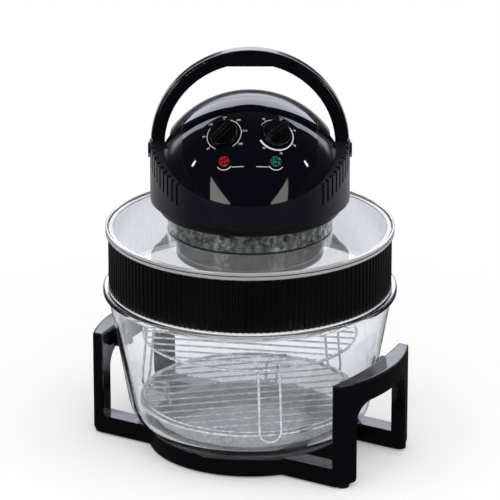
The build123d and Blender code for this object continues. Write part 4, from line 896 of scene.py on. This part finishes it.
buildBowl()
print("bowl pressed")

rim = {
    # the ring's top rim: radii, and the groove between its two rolled beads, in millimetres; the groove's
    # faces are painted black as painted shade
    "lip": 160.81, "band": 166.5, "seat": 166.51, "outer": 169.4, "ledgeHeight": 2.0, "bead": 1.3,
    "lineTop": 3.7, "lineWidth": 1.1, "lineDepth": 0.7, "lineRound": 0.3, "lineInRound": 0.2,
    "lineMargin": 0.5, "flareRound": 0.6, "ledgeRound": 0.4, "segments": 256,
}


def buildRim():
    low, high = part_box("ring_top_rim")
    bottom, top = low.z / mm, high.z / mm
    ledge = bottom + rim["ledgeHeight"]
    lineTop, lineEnd = top - rim["lineTop"], top - rim["lineTop"] - rim["lineWidth"]
    lineIn = rim["outer"] - rim["lineDepth"]
    outline = roundedProfile([
        (rim["lip"], bottom, 0),
        (rim["band"], bottom, 0),
        (rim["outer"], ledge, rim["flareRound"]),
        (rim["outer"], lineEnd, rim["lineRound"]),
        (lineIn, lineEnd, rim["lineInRound"]),
        (lineIn, lineTop, rim["lineInRound"]),
        (rim["outer"], lineTop, rim["lineRound"]),
        (rim["outer"], top, rim["bead"]),
        (rim["seat"], top, rim["bead"]),
        (rim["seat"], ledge, rim["ledgeRound"]),
        (rim["lip"], ledge, rim["ledgeRound"]),
    ])
    verts, faces = latheMesh(outline, True, rim["segments"])
    piece = addPiece("rolledRim", verts, faces, finishes["rim_chrome"], "extender_ring", smoothAngle=60.0)
    # the groove's outer faces take the black body finish: a painted shade line in the groove
    piece.data.materials.append(finishes["body_black"])
    for face in piece.data.polygons:
        middle = face.center / mm
        outside = Vector(middle[:2]).length > rim["seat"] + rim["lineMargin"]
        face.material_index = 1 if outside and lineEnd < middle.z < lineTop else 0
    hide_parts("ring_top_rim")


buildRim()
print("ring's rim rolled")

weave = {
    # the turn in degrees, the lift of a crossing as a share of the wire's radius, the rest in millimetres
    "pitch": 3.0, "wire": 0.32, "sides": 5, "turn": 38.0, "lift": 0.95, "corner": 7.0,
    "floorRadius": 107.0, "rimRadius": 128.0, "reachStep": 0.5,
}


def basketSurface(reach, low, high):
    # a point of the dish's section, and its slope, at a distance measured along the sheet
    rise, run = high - low, weave["rimRadius"] - weave["floorRadius"]
    lean = asin(rise / sqrt(rise * rise + run * run))
    corner = weave["corner"]
    setback = corner * tan(lean / 2)
    flat = weave["floorRadius"] - setback
    if reach < flat:
        return reach, low, 0.0
    bend = (reach - flat) / corner
    if bend < lean:
        return flat + corner * sin(bend), low + corner * (1 - cos(bend)), bend
    rest = reach - flat - corner * lean
    return (
        flat + corner * sin(lean) + rest * cos(lean),
        low + corner * (1 - cos(lean)) + rest * sin(lean),
        lean,
    )


def buildBasket():
    low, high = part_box("basket_mesh")
    bottom = low.z / mm + 2 * weave["wire"]
    top = high.z / mm
    limit = weave["floorRadius"]
    while basketSurface(limit, bottom, top)[1] < top:
        limit += weave["reachStep"]
    verts, faces = [], []
    turn = radians(weave["turn"])
    rows = int(limit / weave["pitch"])
    for direction in (0, 1):
        for row in range(-rows, rows + 1):
            offset = row * weave["pitch"]
            half = sqrt(max(limit * limit - offset * offset, 0))
            steps = int(half / weave["pitch"])
            stops = [-half] + [step * weave["pitch"] for step in range(-steps, steps + 1)] + [half]
            points = []
            for along in stops:
                u, v = (along, offset) if direction else (offset, along)
                flatPlace = Vector((u * cos(turn) - v * sin(turn), u * sin(turn) + v * cos(turn)))
                reach = min(flatPlace.length, limit)
                out, up, lean = basketSurface(reach, bottom, top)
                side = flatPlace.normalized() if flatPlace.length > 1e-6 else Vector((1, 0))
                over = 1 if (round(along / weave["pitch"]) + row + direction) % 2 else -1
                lift = over * weave["wire"] * weave["lift"]
                out -= lift * sin(lean)
                up += lift * cos(lean)
                points.append(Vector((side.x * out, side.y * out, up)) * mm)
            if len(points) > 3:
                addTube(verts, faces, points, weave["wire"] * mm, weave["sides"])
    piece = addPiece("basketWeave", verts, faces, finishes["mesh_steel"], "basket", smoothAngle=75.0)
    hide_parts("basket_mesh")


buildBasket()
print("basket woven")

dome = {"radius": 116.0, "centre": 315.5}  # the ball that the fascia is cut from, in millimetres
dials = {
    # the lift over the horizon in degrees, the rest in millimetres
    "sideways": 30.0, "lift": 53.0, "ring": 20.2, "ringSteps": 72, "tick": 2.4, "tickGap": 0.2,
    "tickWidth": 0.5, "numeral": 3.6, "numeralOut": 25.2, "numeralCurve": 3, "ink": 0.1, "sunk": 0.03,
}
scales = {
    # side, numerals clockwise, first angle and sweep in degrees, the ring's width at both ends
    "temperatureScale": (-1, ("60", "90", "120", "150", "180", "210", "240"), -150, 300, 0.7, 0.7),
    "timerScale": (1, ("60", "50", "40", "30", "20", "10"), -60, 300, 0.4, 2.3),
}
marks = {
    # an arc under each lens, its start and sweep in degrees clockwise from up, and a line beside it
    "sideways": 29.5, "lift": 35.0, "arc": 9.4, "arcWidth": 0.9, "arcStart": 125, "arcSweep": 110,
    "arcSteps": 16, "lineDown": 0.78, "lineOut": 0.95, "lineLength": 14.0, "lineWidth": 0.7, "lineSteps": 6,
}


def onDome(sideways, lift, across, up, out):
    # a place on the dome from a flat sheet that touches it, all in millimetres
    share = sideways / dome["radius"]
    level = sqrt(1 - share * share)
    lift = radians(lift)
    normal = Vector((share, -level * cos(lift), level * sin(lift)))
    right = (Vector((1, 0, 0)) - normal * share).normalized()
    upward = normal.cross(right)
    ray = (normal * dome["radius"] + right * across + upward * up).normalized()
    return (Vector((0, 0, dome["centre"])) + ray * (dome["radius"] + out)) * mm


def addInk(verts, faces, rungs, spot):
    # a closed strip of ink: rungs are pairs of flat places across it
    start = len(verts)
    for first, second in rungs:
        for place in (first, second):
            verts.append(onDome(*spot, *place, -dials["sunk"]))
            verts.append(onDome(*spot, *place, dials["ink"]))
    for number in range(len(rungs) - 1):
        a, b = start + 4 * number, start + 4 * number + 4
        faces.extend([
            (a + 1, a + 3, b + 3, b + 1),
            (a, b, b + 2, a + 2),
            (a, a + 1, b + 1, b),
            (a + 2, b + 2, b + 3, a + 3),
        ])
    last = start + 4 * (len(rungs) - 1)
    faces.append((start, start + 2, start + 3, start + 1))
    faces.append((last, last + 1, last + 3, last + 2))


def polar(radius, turn):
    # turn in degrees clockwise from straight up
    return radius * sin(radians(turn)), radius * cos(radians(turn))


def addNumeral(verts, faces, text, centre, spot):
    # the font's own letters, bent onto the dome
    curve = bpy.data.curves.new("numeral", "FONT")
    curve.body = text
    curve.size = dials["numeral"]
    curve.align_x, curve.align_y = "CENTER", "CENTER"
    curve.extrude = 0.5  # only parts the front from the back
    curve.resolution_u = dials["numeralCurve"]
    letter = bpy.data.objects.new("numeral", curve)
    bpy.context.scene.collection.objects.link(letter)
    mesh = bpy.data.meshes.new_from_object(letter.evaluated_get(bpy.context.evaluated_depsgraph_get()))
    start = len(verts)
    for vertex in mesh.vertices:
        out = dials["ink"] if vertex.co.z > 0 else -dials["sunk"]
        verts.append(onDome(*spot, centre[0] + vertex.co.x, centre[1] + vertex.co.y, out))
    for face in mesh.polygons:
        faces.append(tuple(start + number for number in face.vertices))
    bpy.data.objects.remove(letter)
    bpy.data.meshes.remove(mesh)
    bpy.data.curves.remove(curve)


def buildScale(name, side, numerals, start, sweep, thin, thick):
    # a ring that runs clockwise from thin to thick, ticks outside it, and numerals outside those
    spot = (side * dials["sideways"], dials["lift"])
    verts, faces = [], []
    rungs, steps = [], dials["ringSteps"]
    for step in range(steps + 1):
        turn = start + sweep * step / steps
        width = thin + (thick - thin) * step / steps
        rungs.append((polar(dials["ring"], turn), polar(dials["ring"] + width, turn)))
    addInk(verts, faces, rungs, spot)
    for number, text in enumerate(numerals):
        turn = start + sweep * (number + 0.5) / len(numerals)
        along = Vector(polar(1, turn))
        aside = Vector((along.y, -along.x)) * dials["tickWidth"] / 2
        inner, outer = along * (dials["ring"] + dials["tickGap"]), along * (dials["ring"] + dials["tick"])
        addInk(verts, faces, [(inner - aside, inner + aside), (outer - aside, outer + aside)], spot)
        addNumeral(verts, faces, text, polar(dials["numeralOut"], turn), spot)
    piece = addPiece(name, verts, faces, inkWhite, "lid")


def buildMarks():
    verts, faces = [], []
    for side in (-1, 1):
        spot = (side * marks["sideways"], marks["lift"])
        rungs = []
        for step in range(marks["arcSteps"] + 1):
            turn = marks["arcStart"] + marks["arcSweep"] * step / marks["arcSteps"]
            rungs.append((polar(marks["arc"], turn), polar(marks["arc"] + marks["arcWidth"], turn)))
        addInk(verts, faces, rungs, spot)
        level = -marks["arc"] * marks["lineDown"]
        begin = -side * marks["arc"] * marks["lineOut"]
        end = begin - side * marks["lineLength"]
        rungs = []
        for step in range(marks["lineSteps"] + 1):
            across = begin + (end - begin) * step / marks["lineSteps"]
            rungs.append(((across, level), (across, level + marks["lineWidth"])))
        addInk(verts, faces, rungs, spot)
    piece = addPiece("lensMarks", verts, faces, inkWhite, "lid")


for name, values in scales.items():
    buildScale(name, *values)
buildMarks()
print("dial scales printed")

filament = {
    # the gap at the lamp's ends in degrees, the rest in millimetres and counts
    "ring": 60.0, "coil": 1.1, "wire": 0.18, "sides": 4, "turns": 150, "pointsPerTurn": 8, "gap": 40.0,
}


def buildFilament():
    low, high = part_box("halogen_lamp")
    level = (low.z + high.z) / 2 / mm
    count = filament["turns"] * filament["pointsPerTurn"]
    points = []
    for number in range(count + 1):
        turn = radians(90 + filament["gap"] / 2 + (360 - filament["gap"]) * number / count)
        twist = 2 * pi * number / filament["pointsPerTurn"]
        out = filament["ring"] + filament["coil"] * cos(twist)
        points.append(Vector((out * cos(turn), out * sin(turn), level + filament["coil"] * sin(twist))) * mm)
    verts, faces = [], []
    addTube(verts, faces, points, filament["wire"] * mm, filament["sides"])
    piece = addPiece("lampFilament", verts, faces, finishes["bracket_steel"], "lid")


buildFilament()
print("filament wound")
